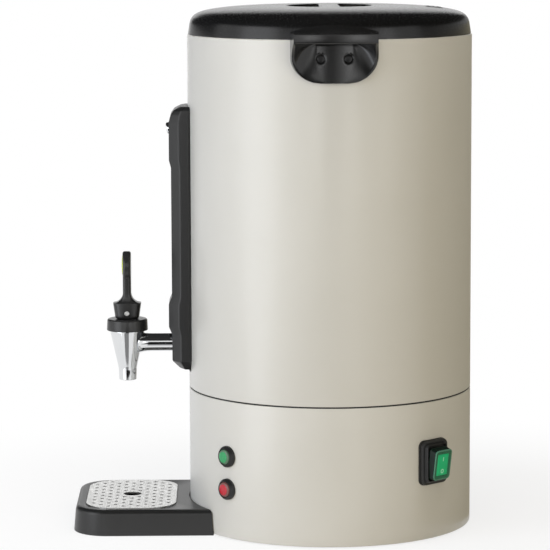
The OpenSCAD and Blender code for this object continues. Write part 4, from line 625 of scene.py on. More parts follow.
grid = handle_grid()
for side, name in ((1, "right_handle"), (-1, "left_handle")):
    piece(name + "_moulding", [grid * [side, side, 1]], abs_handle, instead=[name],
          crease=42)

# %% [markdown]
# ## The handle screws
# Two pan-head screws hold each handle. A head is a low dome as a function of radius and
# angle, with a cross pressed into it where either coordinate is near zero.

# %% Handle screws
HEAD_R, HEAD_H, HEAD_SINK, DOME = 2.8, 1.0, 0.6, 1.25
CROSS_L, CROSS_W, CROSS_DEPTH, CROSS_SOFT, CROSS_END = 1.7, 0.42, 0.7, 0.18, 0.3
turn = np.linspace(0, 2 * np.pi, 96, endpoint=False)
r, t = np.meshgrid(np.linspace(0, 1, 25), turn, indexing="ij")
a, b = HEAD_R * r * np.cos(t), HEAD_R * r * np.sin(t)
strokes = [step(CROSS_W - np.abs(p), CROSS_SOFT) * step(CROSS_L - np.abs(q), CROSS_END)
           for p, q in ((a, b), (b, a))]
dome = HEAD_H * (np.sqrt(DOME - r**2) - CROSS_DEPTH * np.maximum(*strokes))
back = 0 * r - HEAD_SINK
head = np.concatenate([np.stack([a, b, dome], -1), np.stack([a, b, back], -1)[-1:],
                       np.stack([0 * a, 0 * b, back], -1)[-1:]])
heads = []
for side in (1, -1):
    for y in (-SCREW_Y, SCREW_Y):
        seat = np.sqrt((PLATE_R - DIMPLE) ** 2 - y**2)
        heads.append(laid(head, (side * seat, y, SCREW_Z), (side, 0, 0)))
piece("handle_screw_heads", heads, black_steel, instead=["handle_screws"])

# %% [markdown]
# ## The gauge panel
# A moulded cover in front of the gauge glass. Seen from the side it has two bosses and
# slopes off at both ends; seen from above it is bevelled at both edges. The surface is the
# side profile times a share across the width, and the window's cells are left out.

# %% Gauge panel
panel_low, panel_high = span("gauge_panel")
PANEL_Z, PANEL_TOP, PANEL_HALF = panel_low[2], panel_high[2], panel_high[0]
LOWER_FACE = -panel_low[1]
FACE = LOWER_FACE - 2.6
UPPER_FACE = FACE + 1.6
PANEL_CORNER, BEVEL_W, BEVEL_D, EDGE_R, SLOPE = 4.0, 8.0, 6.0, 1.6, 6.0
WINDOW_Z, WINDOW_W, WINDOW_H = 234.5, 8.0, 92.0
LOWER_BOSS, UPPER_BOSS = (162.0, 181.0), (298.0, PANEL_TOP - 12.7)
FOOT_CUT, FOOT_SIDE, BROW, HEAD_CUT = (6.5, 7.0), 5.0, (2.6, 3.0), 8.0
PANEL_SINK, PANEL_WALL, DRUM_GAP, ENDS, SAME = 0.5, 2, 0.3, 0.5, 1e-3
WINDOW = WINDOW_Z + WINDOW_H / 2 * np.array([-1, -1, 1, 1]) + WINDOW_W / 2 * np.array([0, 1, -1, 0])
WINDOW_FOLD, WINDOW_LEAST, IN_WINDOW = 0.3, 0.05, 0.98


def panel_line():
    """Side profile (d, z) of the face, from the foot to the top, with a row of points wherever the
    window's round ends or the panel's corners need one."""
    back = BODY_R - PANEL_SINK
    profile = rounded(
        [(back, PANEL_Z), (FACE - FOOT_CUT[0], PANEL_Z), (FACE, PANEL_Z + FOOT_CUT[1]),
         (FACE, LOWER_BOSS[0] - SLOPE), (LOWER_FACE, LOWER_BOSS[0]), (LOWER_FACE, LOWER_BOSS[1]),
         (FACE, LOWER_BOSS[1] + SLOPE), (FACE, UPPER_BOSS[0] - SLOPE), (UPPER_FACE, UPPER_BOSS[0]),
         (UPPER_FACE, UPPER_BOSS[1]), (FACE, UPPER_BOSS[1] + SLOPE),
         (FACE - BROW[0], PANEL_TOP - BROW[1]), (FACE - HEAD_CUT, PANEL_TOP), (back, PANEL_TOP)],
        [0, 1.5, 3, 5, 5, 5, 5, 5, 5, 5, 4, 3, 1.5, 0], 6)
    corner = np.linspace(0, np.pi / 2, 9)
    round_off = PANEL_CORNER * (1 - np.cos(corner))
    extra = np.concatenate([
        WINDOW[1] - WINDOW_W / 2 * np.cos(corner), WINDOW[2] + WINDOW_W / 2 * np.sin(corner),
        np.linspace(WINDOW[1], WINDOW[2], 9)[1:-1], PANEL_Z + round_off, PANEL_TOP - round_off])
    d, z = profile.T
    middle = profile[(d > FACE - FOOT_CUT[0] + 0.1) & (z > PANEL_Z + ENDS) & (z < PANEL_TOP - ENDS)]
    extra = extra[(extra > middle[0, 1]) & (extra < middle[-1, 1])]
    z = np.unique(np.concatenate([middle[:, 1], extra]).round(4))
    d = np.interp(z, middle[:, 1], middle[:, 0])
    start = profile[: np.argmax(profile[:, 1] >= middle[0, 1])]
    end = profile[len(profile) - np.argmax(profile[::-1, 1] <= middle[-1, 1]):]
    return np.concatenate([start, np.column_stack([d, z]), end])


def panel_grid():
    """Row: a point (d, z) of the side profile. Column: a place across the panel, y = v w(z),
    where w rounds off at both ends, and a share s of the depth, which falls over the bevel.
    The point lies at depth r + s (d - r), where r is the drum's face at that y. Also a mask of
    the cells that stay round the window."""
    d, z = panel_line().T
    fall = np.clip(np.maximum(PANEL_Z - z, z - PANEL_TOP) + PANEL_CORNER, 0, PANEL_CORNER)
    half = PANEL_HALF - PANEL_CORNER + np.sqrt(PANEL_CORNER**2 - fall**2)
    half = np.minimum(half, PANEL_HALF - FOOT_SIDE + (z - PANEL_Z) * FOOT_SIDE / FOOT_CUT[1])
    reach = np.clip(np.maximum(WINDOW[1] - z, z - WINDOW[2]) / (WINDOW_W / 2), 0, 1)
    in_row = (z >= WINDOW[0] - SAME) & (z <= WINDOW[3] + SAME)
    opening = np.maximum(WINDOW_W / 2 * np.sqrt(1 - reach**2), WINDOW_LEAST)
    slot = np.where(in_row, opening, WINDOW_W / 2 * WINDOW_FOLD)
    t = np.linspace(0, 1, 9)
    flat = slot[:, None] + (half - BEVEL_W - slot)[:, None] * t
    edge = rounded([(0, 0), (BEVEL_W, BEVEL_D), (BEVEL_W, BEVEL_D + 4)], [0, EDGE_R, 0], 6)[1:-1]
    bevel = (half - BEVEL_W)[:, None] + edge[:, 0]
    lip = np.linspace(0, 1, 3)[:-1]
    right = np.concatenate([slot[:, None] * lip, flat, bevel, half[:, None], half[:, None]], axis=1)
    bevel_share = 1 - edge[:, 1] / (FACE - BODY_R)
    share = np.concatenate([np.ones(len(lip) + len(t)), bevel_share, [0.2, 0.0]])
    y = np.concatenate([-right[:, :0:-1], right], axis=1)
    s = np.concatenate([share[:0:-1], share])
    drum = np.sqrt(BODY_R**2 - y**2) - DRUM_GAP
    depth = drum + s * (d[:, None] - drum)
    points = np.stack([y, -depth, np.broadcast_to(z[:, None], y.shape)], -1)
    mid_z = (z[:-1] + z[1:]) / 2
    mid_y = np.abs((y[:-1, :-1] + y[1:, 1:]) / 2)
    rows_open = (mid_z > WINDOW[0]) & (mid_z < WINDOW[3])
    keep = ~(rows_open[:, None] & (mid_y < (slot[:-1] + slot[1:])[:, None] / 2 * IN_WINDOW))
    return points, keep


grid, keep = panel_grid()
panel = piece("gauge_panel_cover", [(grid, quads(grid, close_columns=False, keep=keep))], abs_black,
              instead=["gauge_panel"], open_sheet=True, crease=28)
wall = panel.modifiers.new("moulding wall", "SOLIDIFY")
wall.thickness, wall.offset, wall.use_even_offset = PANEL_WALL * MM, -1, False

# %% [markdown]
# ## The gauge cap
# A chromed screw closes the top of the gauge so that the glass can be brushed out. It is a
# turned head with a coin slot, leaning a little downwards as its boss does.

# %% Gauge cap
cap_low, cap_high = span("cap_screw")
CAP_R, CAP_FACE, CAP_Z = (cap_high[0] - cap_low[0]) / 2, -cap_low[1], (cap_low[2] + cap_high[2]) / 2
CAP_LEAN, CAP_BACK, CAP_EDGE, CAP_CROWN, CAP_PROUD = np.radians(8), 3.4, 1.3, 0.25, 0.2
COIN_HALF, COIN_DEPTH, COIN_SOFT = 0.55, 0.9, 0.2
cap_line = rounded([(0, -CAP_BACK), (CAP_R, -CAP_BACK), (CAP_R, 0), (0, CAP_CROWN)],
                   [0, 0, CAP_EDGE, 0], 8)[:-1]
cap_face = np.column_stack([np.linspace(CAP_R - CAP_EDGE - 0.1, 0, 14), np.linspace(0.05, CAP_CROWN, 14)])
grid = turned(np.concatenate([cap_line, cap_face]))
on_face = grid[..., 2] > -0.4
grid[..., 2] -= COIN_DEPTH * step(COIN_HALF - np.abs(grid[..., 1]), COIN_SOFT) * on_face
lean = np.array([0, -np.cos(CAP_LEAN), -np.sin(CAP_LEAN)])
piece("gauge_cap", [laid(grid, (0, -CAP_FACE + CAP_PROUD, CAP_Z), lean)], chrome,
      instead=["cap_screw"])

# %% [markdown]
# ## The tap
# A chromed brass casting: a cone that narrows to the spout, and a shank that carries the
# coffee from the tank. The cone is turned about the spout's axis. The shank is turned about
# its own, and flares where the casting runs into the cone.

# %% Tap body
tap_low, tap_high = span("tap_body")
TAP_R = tap_high[0]
TAP_Y = tap_low[1] + TAP_R
SPOUT_Z, CONE_TOP = tap_low[2], span("tap_bonnet")[0][2]
CONE_FOOT, SPOUT_R, NECK_R, BORE_R, SEAT_Z = SPOUT_Z + 9.6, 7.2, 7.5, 5.3, 140.0
SHANK_Z, SHANK_R, SHANK_BORE, SHANK_FLARE = 147.6, 7.3, 4.5, 1.9
SHANK_IN, FLARE_FROM, SHANK_END = -tap_high[1], -TAP_Y - 22, -TAP_Y - 9.0
cone_line = rounded([(0, SEAT_Z), (BORE_R, SEAT_Z), (BORE_R, SPOUT_Z), (SPOUT_R, SPOUT_Z),
                     (NECK_R, CONE_FOOT), (TAP_R, CONE_TOP - 0.8), (TAP_R, CONE_TOP), (0, CONE_TOP)],
                    [0, 0, 0.5, 0.6, 20, 0.8, 0.3, 0], 10)
cone = turned(cone_line, 144) + [0, TAP_Y, 0]
share = np.linspace(0, 1, 12)
flare = np.column_stack([SHANK_R + SHANK_FLARE * share**3, np.linspace(FLARE_FROM, SHANK_END, 12)])
shank_line = np.concatenate([[(SHANK_BORE, SHANK_IN), (SHANK_R, SHANK_IN), (SHANK_R, BODY_R)], flare,
                             [(SHANK_BORE, SHANK_END)]])
shank = laid(turned(shank_line), (0, 0, SHANK_Z), FORWARD)
piece("tap_casting", [cone, hoop(shank)], chrome, instead=["tap_body"], crease=40)

# %% [markdown]
# ## The bonnet
# The black cap that screws down over the tap's spring. It flares a little downwards and has
# a soft upper edge.

# %% Bonnet
bonnet_low, bonnet_high = span("tap_bonnet")
BONNET_R, BONNET_Z, BONNET_TOP = bonnet_high[0], bonnet_low[2], bonnet_high[2]
STEM_HOLE, FLARE, CAP_WALL, BONNET_IN = 3.4, 0.5, 2.0, TAP_R - 1.5
bonnet_line = rounded([(STEM_HOLE, BONNET_Z + CAP_WALL), (STEM_HOLE, BONNET_TOP),
                       (BONNET_R - FLARE, BONNET_TOP), (BONNET_R, BONNET_Z),
                       (BONNET_IN, BONNET_Z), (BONNET_IN, BONNET_Z + CAP_WALL)],
                      [0, 0.3, 1.5, 0.5, 0, 0], 8, closed=True)
piece("tap_bonnet_cap", [hoop(turned(bonnet_line, 144) + [0, TAP_Y, 0])], abs_lever,
      instead=["tap_bonnet"])

# %% [markdown]
# ## The spring in the tap
# Under the bonnet a coil of steel wire presses the valve down. When the lever is pulled, the
# stem lifts and the coil shortens against the bonnet; here the coil is made at one length only.

# %% Tap spring
spring_low, spring_high = span("tap_spring")
WIRE_R, COILS, PER_COIL, STEM_LIFT = 0.55, 6, 24, 4.5
COIL_R = (spring_high[0] - spring_low[0]) / 2 - WIRE_R


def coil():
    """A circle of radius w carried along a helix. The centre is (R cos a, R sin a, z), with z even
    in a; round it, w (cos u e + sin u b), where e points out from the axis and b stands across
    the wire."""
    share = np.linspace(0, 1, COILS * PER_COIL + 1)
    a = 2 * np.pi * COILS * share
    rise = spring_high[2] - spring_low[2] - 2 * WIRE_R
    slope = np.arctan2(rise, 2 * np.pi * COILS * COIL_R)
    up = spring_low[2] + WIRE_R + rise * share
    centre = np.stack([COIL_R * np.cos(a), COIL_R * np.sin(a), up], -1)
    outward = np.stack([np.cos(a), np.sin(a), 0 * a], -1)
    across = np.stack([np.sin(a) * np.sin(slope), -np.cos(a) * np.sin(slope), 0 * a + np.cos(slope)], -1)
    u = np.linspace(0, 2 * np.pi, 12, endpoint=False)[:, None]
    wire = centre[:, None] + WIRE_R * (np.cos(u) * outward[:, None] + np.sin(u) * across[:, None])
    first, last = [np.repeat(end[None, None], len(u), axis=1) for end in centre[[0, -1]]]
    return np.concatenate([first, wire, last]) + [0, TAP_Y, 0]


spring = piece("tap_spring_coil", [coil()], stainless, instead=["tap_spring"])
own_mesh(spring)

# %% [markdown]
# ## The lever
# A moulded lever stands on the bonnet and rocks about a pin. Its section is a squarish
# ring all the way up: wide at the foot, pointed at the shoulders, then a thin blade that
# ends in a round. So it is a stack of rings, each with a half length, a half width and a
# squareness. The first rings are the slot that straddles the tap's stem.

# %% Lever
pin_low, pin_high = span("lever_pin")
lever_low, lever_high = span("tap_lever")
PIN_Z, PIN_R = (pin_low[2] + pin_high[2]) / 2, (pin_high[2] - pin_low[2]) / 2
FOOT_Z, LEVER_TOP = lever_low[2], lever_high[2]
FOOT_L, FOOT_W, FOOT_ROUND, FOOT_IN, FOOT_RISE = 10.2, 9.0, 1.9, 1.2, 3.6
SHOULDER_L, SHOULDER_EDGE, NECK_W, BLADE, LEAST = 11.4, 0.7, 7.0, 3.4, 0.02
ROUND_R = lever_high[0]
ROUND_Z = LEVER_TOP - ROUND_R
SHOULDER_Z, HOLLOW_R, TIP_EDGE, BLEND, BLADE_FROM = PIN_Z + 8.0, 8.5, 1.8, 8, 1
SLOT_L, SLOT_W, SLOT_TOP = 7.9, 2.8, PIN_Z + 4.6


def lever_rings():
    """Height, half length a, half width b and squareness n of each ring. The foot's corner and
    the hollow of the shoulder are arcs; above it the width is the round's chord."""
    corner = np.linspace(0, np.pi / 2, 7)
    inward = 1 - np.sin(corner)
    foot = np.column_stack([FOOT_Z + FOOT_RISE * (1 - np.cos(corner)), FOOT_L - FOOT_ROUND * inward,
                            FOOT_W - FOOT_IN * inward])
    reach = np.arccos((BLADE + HOLLOW_R - SHOULDER_L) / HOLLOW_R)
    bend = np.linspace(reach, 0, 14)
    hollow_z = SHOULDER_Z + HOLLOW_R * (1 - np.sin(bend))
    hollow_a = BLADE + HOLLOW_R * (1 - np.cos(bend))
    share = (hollow_a - BLADE) / (SHOULDER_L - BLADE)
    hollow = np.column_stack([hollow_z, hollow_a, NECK_W + (FOOT_W - NECK_W) * share])
    tip = np.array([[hollow_z[0] - SHOULDER_EDGE, SHOULDER_L, FOOT_W]])
    turn = np.linspace(-np.pi / 2, np.pi / 2, 41)
    blade_z = ROUND_Z + ROUND_R * np.sin(turn)
    chord = ROUND_R * np.cos(turn)
    use = blade_z > hollow_z[-1] + BLADE_FROM
    blade_z, chord = blade_z[use], chord[use]
    wide = np.where(blade_z < ROUND_Z, (chord**BLEND + NECK_W**BLEND) ** (1 / BLEND), chord)
    near_top = np.clip((blade_z - LEVER_TOP) / TIP_EDGE + 1, 0, 1)
    thin = BLADE - TIP_EDGE * (1 - np.sqrt(1 - near_top**2))
    blade = np.column_stack([blade_z, thin, np.maximum(wide, LEAST)])
    outside = np.concatenate([foot, tip, hollow, blade])
    slot = np.array([[SLOT_TOP, 0.0, 0.0], [SLOT_TOP, SLOT_L, SLOT_W], [FOOT_Z, SLOT_L, SLOT_W]])
    end = np.array([[LEVER_TOP, 0.0, 0.0]])
    rings = np.concatenate([slot, outside, end])
    square = np.concatenate([np.full(len(slot), 8.0), np.full(len(foot) + 1, 3.0),
                             np.linspace(3, 4, len(hollow)), np.full(len(blade) + 1, 4.0)])
    return rings, square


rings, square = lever_rings()
t = np.linspace(0, 2 * np.pi, 128, endpoint=False)
power = 2 / square[:, None]
along = rings[:, 1:2] * np.sign(np.cos(t)) * np.abs(np.cos(t)) ** power
aside = rings[:, 2:3] * np.sign(np.sin(t)) * np.abs(np.sin(t)) ** power
grid = np.stack([aside, TAP_Y - along, np.broadcast_to(rings[:, 0:1], along.shape)], -1)
piece("lever_moulding", [grid], abs_lever, body="tap_lever", instead=["tap_lever"],
      crease=38)

# %% [markdown]
# ## The lever's disc and pin
# A lime disc is pressed into the front of the round, and a hollow steel pin shows at both
# sides of the foot. Both are small turned forms.

# %% Lever disc and pin
INSET_R = span("lever_inset")[1][0]
DISC_BACK, DISC_EDGE, DISC_LIP, DISC_DOME = 1.4, 0.6, 0.25, 0.65
DOME_R = INSET_R - DISC_EDGE - 0.1
disc_line = rounded([(0, -DISC_BACK), (INSET_R, -DISC_BACK), (INSET_R, DISC_LIP), (0, DISC_LIP)],
                    [0, 0, DISC_EDGE, 0], 5)[:-1]
r = np.linspace(DOME_R, 0, 12)
dome = np.column_stack([r, DISC_LIP + DISC_DOME * (1 - (r / DOME_R) ** 2)])
disc = laid(turned(np.concatenate([disc_line, dome[1:]])), (0, TAP_Y - BLADE, ROUND_Z), FORWARD)
piece("lever_disc", [disc], lime, body="tap_lever", instead=["lever_inset"])

PIN_BACK, PIN_PROUD, PIN_BORE, PIN_FLOOR = 2, 0.3, (1.1, 0.9), 0.05
pin_line = rounded([(0, -PIN_BACK), (PIN_R, -PIN_BACK), (PIN_R, PIN_PROUD), (PIN_BORE[0], PIN_PROUD),
                    (PIN_BORE[1], PIN_FLOOR), (0, PIN_FLOOR)], [0, 0, 0.3, 0.1, 0, 0])
ends = [laid(turned(pin_line, 48), (side * pin_high[0], TAP_Y, PIN_Z), (side, 0, 0)) for side in (1, -1)]
piece("lever_pin_ends", ends, pin_steel, body="tap_lever", instead=["lever_pin"])

# %% [markdown]
# ## The drip tray
# A moulded tray that wraps round the foot of the urn, with a ledge for its grid. Rings run
# from the middle of the underside, up the drafted wall, over the rounded top edge, across
# the flat top to the ledge and down into the bowl. The outer ring is the tray's own outline
# and the inner one the grid's, and both are walked in the same order, so they join cleanly.

# %% Drip tray
tray_low, tray_high = span("drip_tray")
grid_low, grid_high = span("drip_grid")
TRAY_HALF, TRAY_FRONT, TRAY_H = tray_high[0], tray_low[1], tray_high[2]
TRAY_BACK_R, TRAY_CORNER, TRAY_FILLET, DRAFT, TRAY_EDGE = BODY_R + 0.5, 28.0, 4.0, 1.4, 0.4
LEDGE_Z, LEDGE, FLOOR_Z, GRID_CORNER, SLACK = grid_low[2] - 0.2, 3.0, 2.4, 25.0, 0.4
TONGUE_ROOT, TONGUE_END, TONGUE_NOSE, TONGUE_ROUND = -BODY_R - 4, -BODY_R + 10, 0.6, 1.0


def outline(half, front, corner, back, z, back_corner=0.0, drum=None):
    """Loop of points at height z: half of it from the middle of the front to the middle of the
    back, then its mirror image. With `drum`, the back edge follows that radius about Z."""
    bend = np.linspace(0, np.pi / 2, 17)
    t = np.linspace(0, 1, 13)[:, None]
    last = back if drum is None else -np.sqrt(drum**2 - half**2)
    front_edge = np.array([0, front]) + t * [half - corner, 0]
    front_bend = np.column_stack([half - corner + corner * np.sin(bend),
                                  front + corner * (1 - np.cos(bend))])
    side = np.array([half, front + corner]) + t * [0, last - back_corner - front - corner]
    back_bend = np.column_stack([half - back_corner * (1 - np.cos(bend)),
                                 last - back_corner * (1 - np.sin(bend))])
    back_x = (half - back_corner) * (1 - np.linspace(0, 1, 25))
    back_y = np.full(25, last) if drum is None else -np.sqrt(drum**2 - back_x**2)
    back_edge = np.column_stack([back_x, back_y])
    right = np.concatenate([front_edge, front_bend[1:], side[1:], back_bend[1:], back_edge[1:]])
    loop = np.concatenate([right, right[-2:0:-1] * [-1, 1]])
    return np.column_stack([loop, np.full(len(loop), z)])


def tray_ring(inset, z):
    """The tray's outline, set in, at a height."""
    return outline(TRAY_HALF - inset, TRAY_FRONT + inset, TRAY_CORNER - inset, 0, z,
                   drum=TRAY_BACK_R + min(inset, TRAY_EDGE))


def grid_ring(grow, z):
    """The grid's outline, grown or shrunk, at a height."""
    corner = GRID_CORNER + grow
    return outline(grid_high[0] + grow, grid_low[1] - grow, corner, grid_high[1] + grow, z, corner)


def tongue_grid():
    """Rings of a flat bar with rounded edges, from its root under the tray to its blunt nose
    inside the base. Both ends close to a point."""
    ring = rounded([(-TONGUE_HALF, TONGUE_LOW), (TONGUE_HALF, TONGUE_LOW), (TONGUE_HALF, TONGUE_HIGH),
                    (-TONGUE_HALF, TONGUE_HIGH)], TONGUE_ROUND, 4, closed=True)
    middle = (TONGUE_LOW + TONGUE_HIGH) / 2
    reach = np.array([TONGUE_ROOT, TONGUE_ROOT, TONGUE_END - TONGUE_NOSE, TONGUE_END, TONGUE_END])
    size = np.array([0.0, 1.0, 1.0, 0.96, 0.0])[:, None]
    return np.stack([size * ring[:, 0], np.broadcast_to(reach[:, None], (len(reach), len(ring))),
                     middle + size * (ring[:, 1] - middle)], -1)


wall_h = TRAY_H - TRAY_FILLET - TRAY_EDGE
wall_rings = [tray_ring(TRAY_EDGE, 0.0)]
wall_rings += [tray_ring(DRAFT * s, TRAY_EDGE + wall_h * s) for s in (0.0, 0.33, 0.66)]
wall_rings += [tray_ring(DRAFT + TRAY_FILLET * (1 - np.cos(a)), TRAY_H - TRAY_FILLET * (1 - np.sin(a)))
               for a in np.linspace(0, np.pi / 2, 9)]
bowl = [(SLACK + 0.5, TRAY_H), (SLACK + 0.15, TRAY_H - 0.1), (SLACK, TRAY_H - 0.35), (SLACK, LEDGE_Z),
        (-LEDGE + 0.4, LEDGE_Z), (-LEDGE, LEDGE_Z - 0.4), (-LEDGE - 1, FLOOR_Z + 3),
        (-LEDGE - 2, FLOOR_Z + 0.8), (-LEDGE - 4, FLOOR_Z)]
rings = np.array(wall_rings + [grid_ring(*at) for at in bowl])
below = np.array([0, (grid_low[1] + grid_high[1]) / 2, 0])
above = below + [0, 0, FLOOR_Z]
under = [below + (rings[0] - below) * share for share in (0.0, 0.6)]
floor = [above + (rings[-1] - above) * share for share in (0.5, 0.0)]
piece("drip_tray_moulding", [np.array([*under, *rings, *floor]), tongue_grid()], abs_black,
      body="drip_tray", instead=["drip_tray"], crease=40)

# %% [markdown]
# ## The edge of the drip grid
# The punched grid is right in the CAD, hole by hole, so it stays. A pressed sheet has a
# soft rolled edge though, and that edge catches the light, so a thin bead runs round it.

# %% Grid edge
BEAD, BEAD_TALL = 0.62, 1.1
middle = (grid_low[2] + grid_high[2]) / 2
bead = np.array([grid_ring(BEAD * (np.cos(a) - 1), middle + BEAD * BEAD_TALL * np.sin(a))
                 for a in np.linspace(0, 2 * np.pi, 13)[:-1]])
piece("drip_grid_edge", [hoop(bead)], stainless, body="drip_grid")

# %% [markdown]
# ## The two lamps
# Round nylon bezels snap into the base, with domed acrylic lenses: green above, red below.
# Both are turned about an axis that points straight out of the drum.

# %% Lamps
BEZEL_R, BEZEL_OUT, BEZEL_BACK, BEZEL_SLOPE = 8.5, BODY_R + 4, BODY_R - 2, (1.6, 2)
LENS_R, HEART_R, LENS_PROUD, HEART_PROUD, SEAT = 6.0, 4.3, 1.4, 0.15, 1


def facing(angle):
    """Unit vector straight out of the drum at an angle in degrees from +X about Z."""
    return np.array([np.cos(np.radians(angle)), np.sin(np.radians(angle)), 0])


def lens_height(r):
    """The lens stands proud by a quarter of an ellipse: its height falls as sqrt(1 - (r / R)^2)."""
    return BEZEL_OUT + LENS_PROUD * np.sqrt(1 - (r / LENS_R) ** 2)


LAMP_OUT = facing(-47)
bezel_line = rounded([(0, BEZEL_BACK), (BEZEL_R, BEZEL_BACK), (BEZEL_R, BEZEL_OUT - BEZEL_SLOPE[1]),
                      (BEZEL_R - BEZEL_SLOPE[0], BEZEL_OUT), (LENS_R + 0.5, BEZEL_OUT),
                      (LENS_R + 0.1, BEZEL_OUT - SEAT), (0, BEZEL_OUT - SEAT)],
                     [0, 0, 1.0, 0.4, 0.1, 0, 0], 6)
rim_r, heart_r = np.linspace(LENS_R, HEART_R, 8), np.linspace(HEART_R, 0, 14)
lens_back = BEZEL_OUT - SEAT - 0.5
rim_line = np.concatenate([[(HEART_R, lens_back), (LENS_R, lens_back)],
                           np.column_stack([rim_r, lens_height(rim_r)])])
heart_line = np.concatenate([[(0, lens_back), (HEART_R, lens_back)],
                             np.column_stack([heart_r, lens_height(heart_r) + HEART_PROUD])])
for colour, heart_finish, rim_finish in (("green", green_acrylic, green_rim), ("red", red_acrylic, red_rim)):
    lamp_low, lamp_high = span(f"{colour}_lamp_lens")
    at = (0, 0, (lamp_low[2] + lamp_high[2]) / 2)
    bezel, rim, heart = [laid(turned(line), at, LAMP_OUT) for line in (bezel_line, rim_line, heart_line)]
    piece(f"{colour}_lamp_ring", [bezel], nylon_black, instead=[f"{colour}_lamp_bezel"])
    piece(f"{colour}_lamp_dome", [heart], heart_finish, instead=[f"{colour}_lamp_lens"])
    piece(f"{colour}_lamp_rim", [hoop(rim)], rim_finish)

# %% [markdown]
# ## The switch
# A splash-proof rocker: a nylon plate with a stepped frame, and in it a soft green boot
# over the rocker. Both are stacks of rounded rectangles along the line that points out of
# the drum. The boot leans with its rocker and carries a brighter panel with the two marks
# for on and off.

# %% Switch plate
SWITCH_OUT = facing(43)
plate_low, plate_high = span("switch_plate")
SWITCH_Z = (plate_low[2] + plate_high[2]) / 2
SWITCH_BACK = BODY_R + 1.0
PLATE_FACE, FRAME_FACE = SWITCH_BACK + 2.4, SWITCH_BACK + 5.0
PLATE_W, PLATE_H, FRAME_W, FRAME_H, OPEN_W, OPEN_H = 29.0, 35.5, 24.4, 31.6, 20.3, 28.0


def soft_box(rows):
    """Rings of rounded rectangles, from rows made by `stack`. The first and last rings close to a
    point."""
    rings = []
    for w, h, radius, place in rows:
        corners = np.array([(-w, -h), (w, -h), (w, h), (-w, h)]) / 2
        loop = rounded(corners, radius, 8, closed=True)
        rings.append(np.column_stack([loop, np.full(len(loop), place)]))
    return np.array([rings[0] * [0, 0, 1], *rings, rings[-1] * [0, 0, 1]])


def stack(width, height, place, rows):
    """Rows of width, height, corner radius and place along the outward axis. The first, second and
    last value of each row given are added to the common ones."""
    return [(width + w, height + h, radius, place + d) for w, h, radius, d in rows]


plate_rows = [
    *stack(PLATE_W, PLATE_H, SWITCH_BACK, [(-0.4, -0.4, 4.8, 0), (0, 0, 5, 0.3)]),
    *stack(PLATE_W, PLATE_H, PLATE_FACE, [(0, 0, 5, -0.9), (-0.5, -0.5, 4.75, -0.25), (-1.6, -1.6, 4.2, 0)]),
    *stack(FRAME_W, FRAME_H, PLATE_FACE, [
        (0, 0, 3.6, 0), (-0.4, -0.3, 3.4, 0.9), (-1.0, -0.9, 3.2, 1.2), (-1.4, -1.3, 3.1, 1.3),
        (-1.6, -1.5, 3, 2.1), (-2.2, -2.1, 2.8, FRAME_FACE - PLATE_FACE)]),
    *stack(OPEN_W, OPEN_H, FRAME_FACE, [
        (0.6, 0.5, 2.2, 0), (0, 0, 2, -0.4), (0, 0, 2, PLATE_FACE - FRAME_FACE)])]
plate = laid(soft_box(plate_rows), (0, 0, SWITCH_Z), SWITCH_OUT)
piece("switch_surround", [plate], nylon_black, instead=["switch_plate"], crease=30)

# %% Switch boot
BOOT_W, BOOT_H, BOOT_FOOT, BOOT_FACE = 19.4, 26.0, PLATE_FACE + 1.9, PLATE_FACE + 8.4
BOOT_LEAN, PIVOT = np.radians(8), 118.0
BAND_W, BAND_H, EDGE_W, PANEL_W, PANEL_H = BOOT_W - 3.2, BOOT_H - 4.0, 0.55, 12.3, 17.4


def leaned(points):
    """Turns (across, up, out) points about the rocker's pivot, so that the top stands out: up is
    u cos a - d sin a and out is p + d cos a + u sin a, where d is the distance from the pivot p."""
    a, b, d = np.moveaxis(points, -1, 0)
    d = d - PIVOT
    c, s = np.cos(BOOT_LEAN), np.sin(BOOT_LEAN)
    tilted = np.stack([a, b * c - d * s, PIVOT + d * c + b * s], -1)
    return laid(tilted, (0, 0, SWITCH_Z), SWITCH_OUT)


boot_rows = [
    *stack(BOOT_W, BOOT_H, BOOT_FOOT, [
        (-3, -3, 2, 0), (0, 0, 2.5, 0), (0, 0, 2.5, 1.2), (-0.6, -0.8, 2.6, 1.7)]),
    *stack(BOOT_W, BOOT_H, BOOT_FACE, [(-1.2, -1.8, 2.6, -1.0), (-1.8, -2.4, 2.5, -0.3)]),
    *stack(BAND_W, BAND_H, BOOT_FACE, [(0, 0, 2.2, -0.1)]),
    *stack(PANEL_W, PANEL_H, BOOT_FACE, [(1.2, 1.2, 1.2, -0.35), (0.4, 0.4, 1, -0.6)])]
round_edge = [(1.4 + 2 * EDGE_W * np.cos(a), 1.4 + 2 * EDGE_W * np.cos(a), 2.6 + EDGE_W * np.cos(a),
               -0.35 + EDGE_W * np.sin(a)) for a in np.linspace(0, 2 * np.pi, 12, endpoint=False)]
edge_rows = stack(BAND_W, BAND_H, BOOT_FACE, round_edge)
band_rows = [
    *stack(BAND_W, BAND_H, BOOT_FACE, [(1.2, 1.2, 2.4, -0.6), (1.2, 1.2, 2.4, -0.2), (0, 0, 2.2, 0.05)]),
    *stack(PANEL_W, PANEL_H, BOOT_FACE, [(1, 1, 1.2, -0.2), (0.3, 0.3, 1, -0.45), (0.3, 0.3, 1, -0.6)])]
panel_rows = stack(PANEL_W, PANEL_H, BOOT_FACE, [
    (0, 0, 0.8, -1.2), (0, 0, 0.8, -0.5), (-0.4, -0.4, 0.7, -0.3), (-4, -4, 0.5, -0.1)])
boot, edge, band, panel = [leaned(soft_box(rows)) for rows in (boot_rows, edge_rows, band_rows, panel_rows)]
# The boot's sides carry painted shade, its face band painted light and its rounded edge a painted highlight
piece("switch_boot_skin", [boot], boot_pvc_painted_shade, body="rocker", instead=["switch_boot"], crease=40)
piece("switch_boot_edge", [hoop(edge[1:-1])], boot_edge_painted_highlight, body="rocker")
piece("switch_boot_band", [hoop(band[1:-1])], boot_band_painted_light, body="rocker", crease=50)
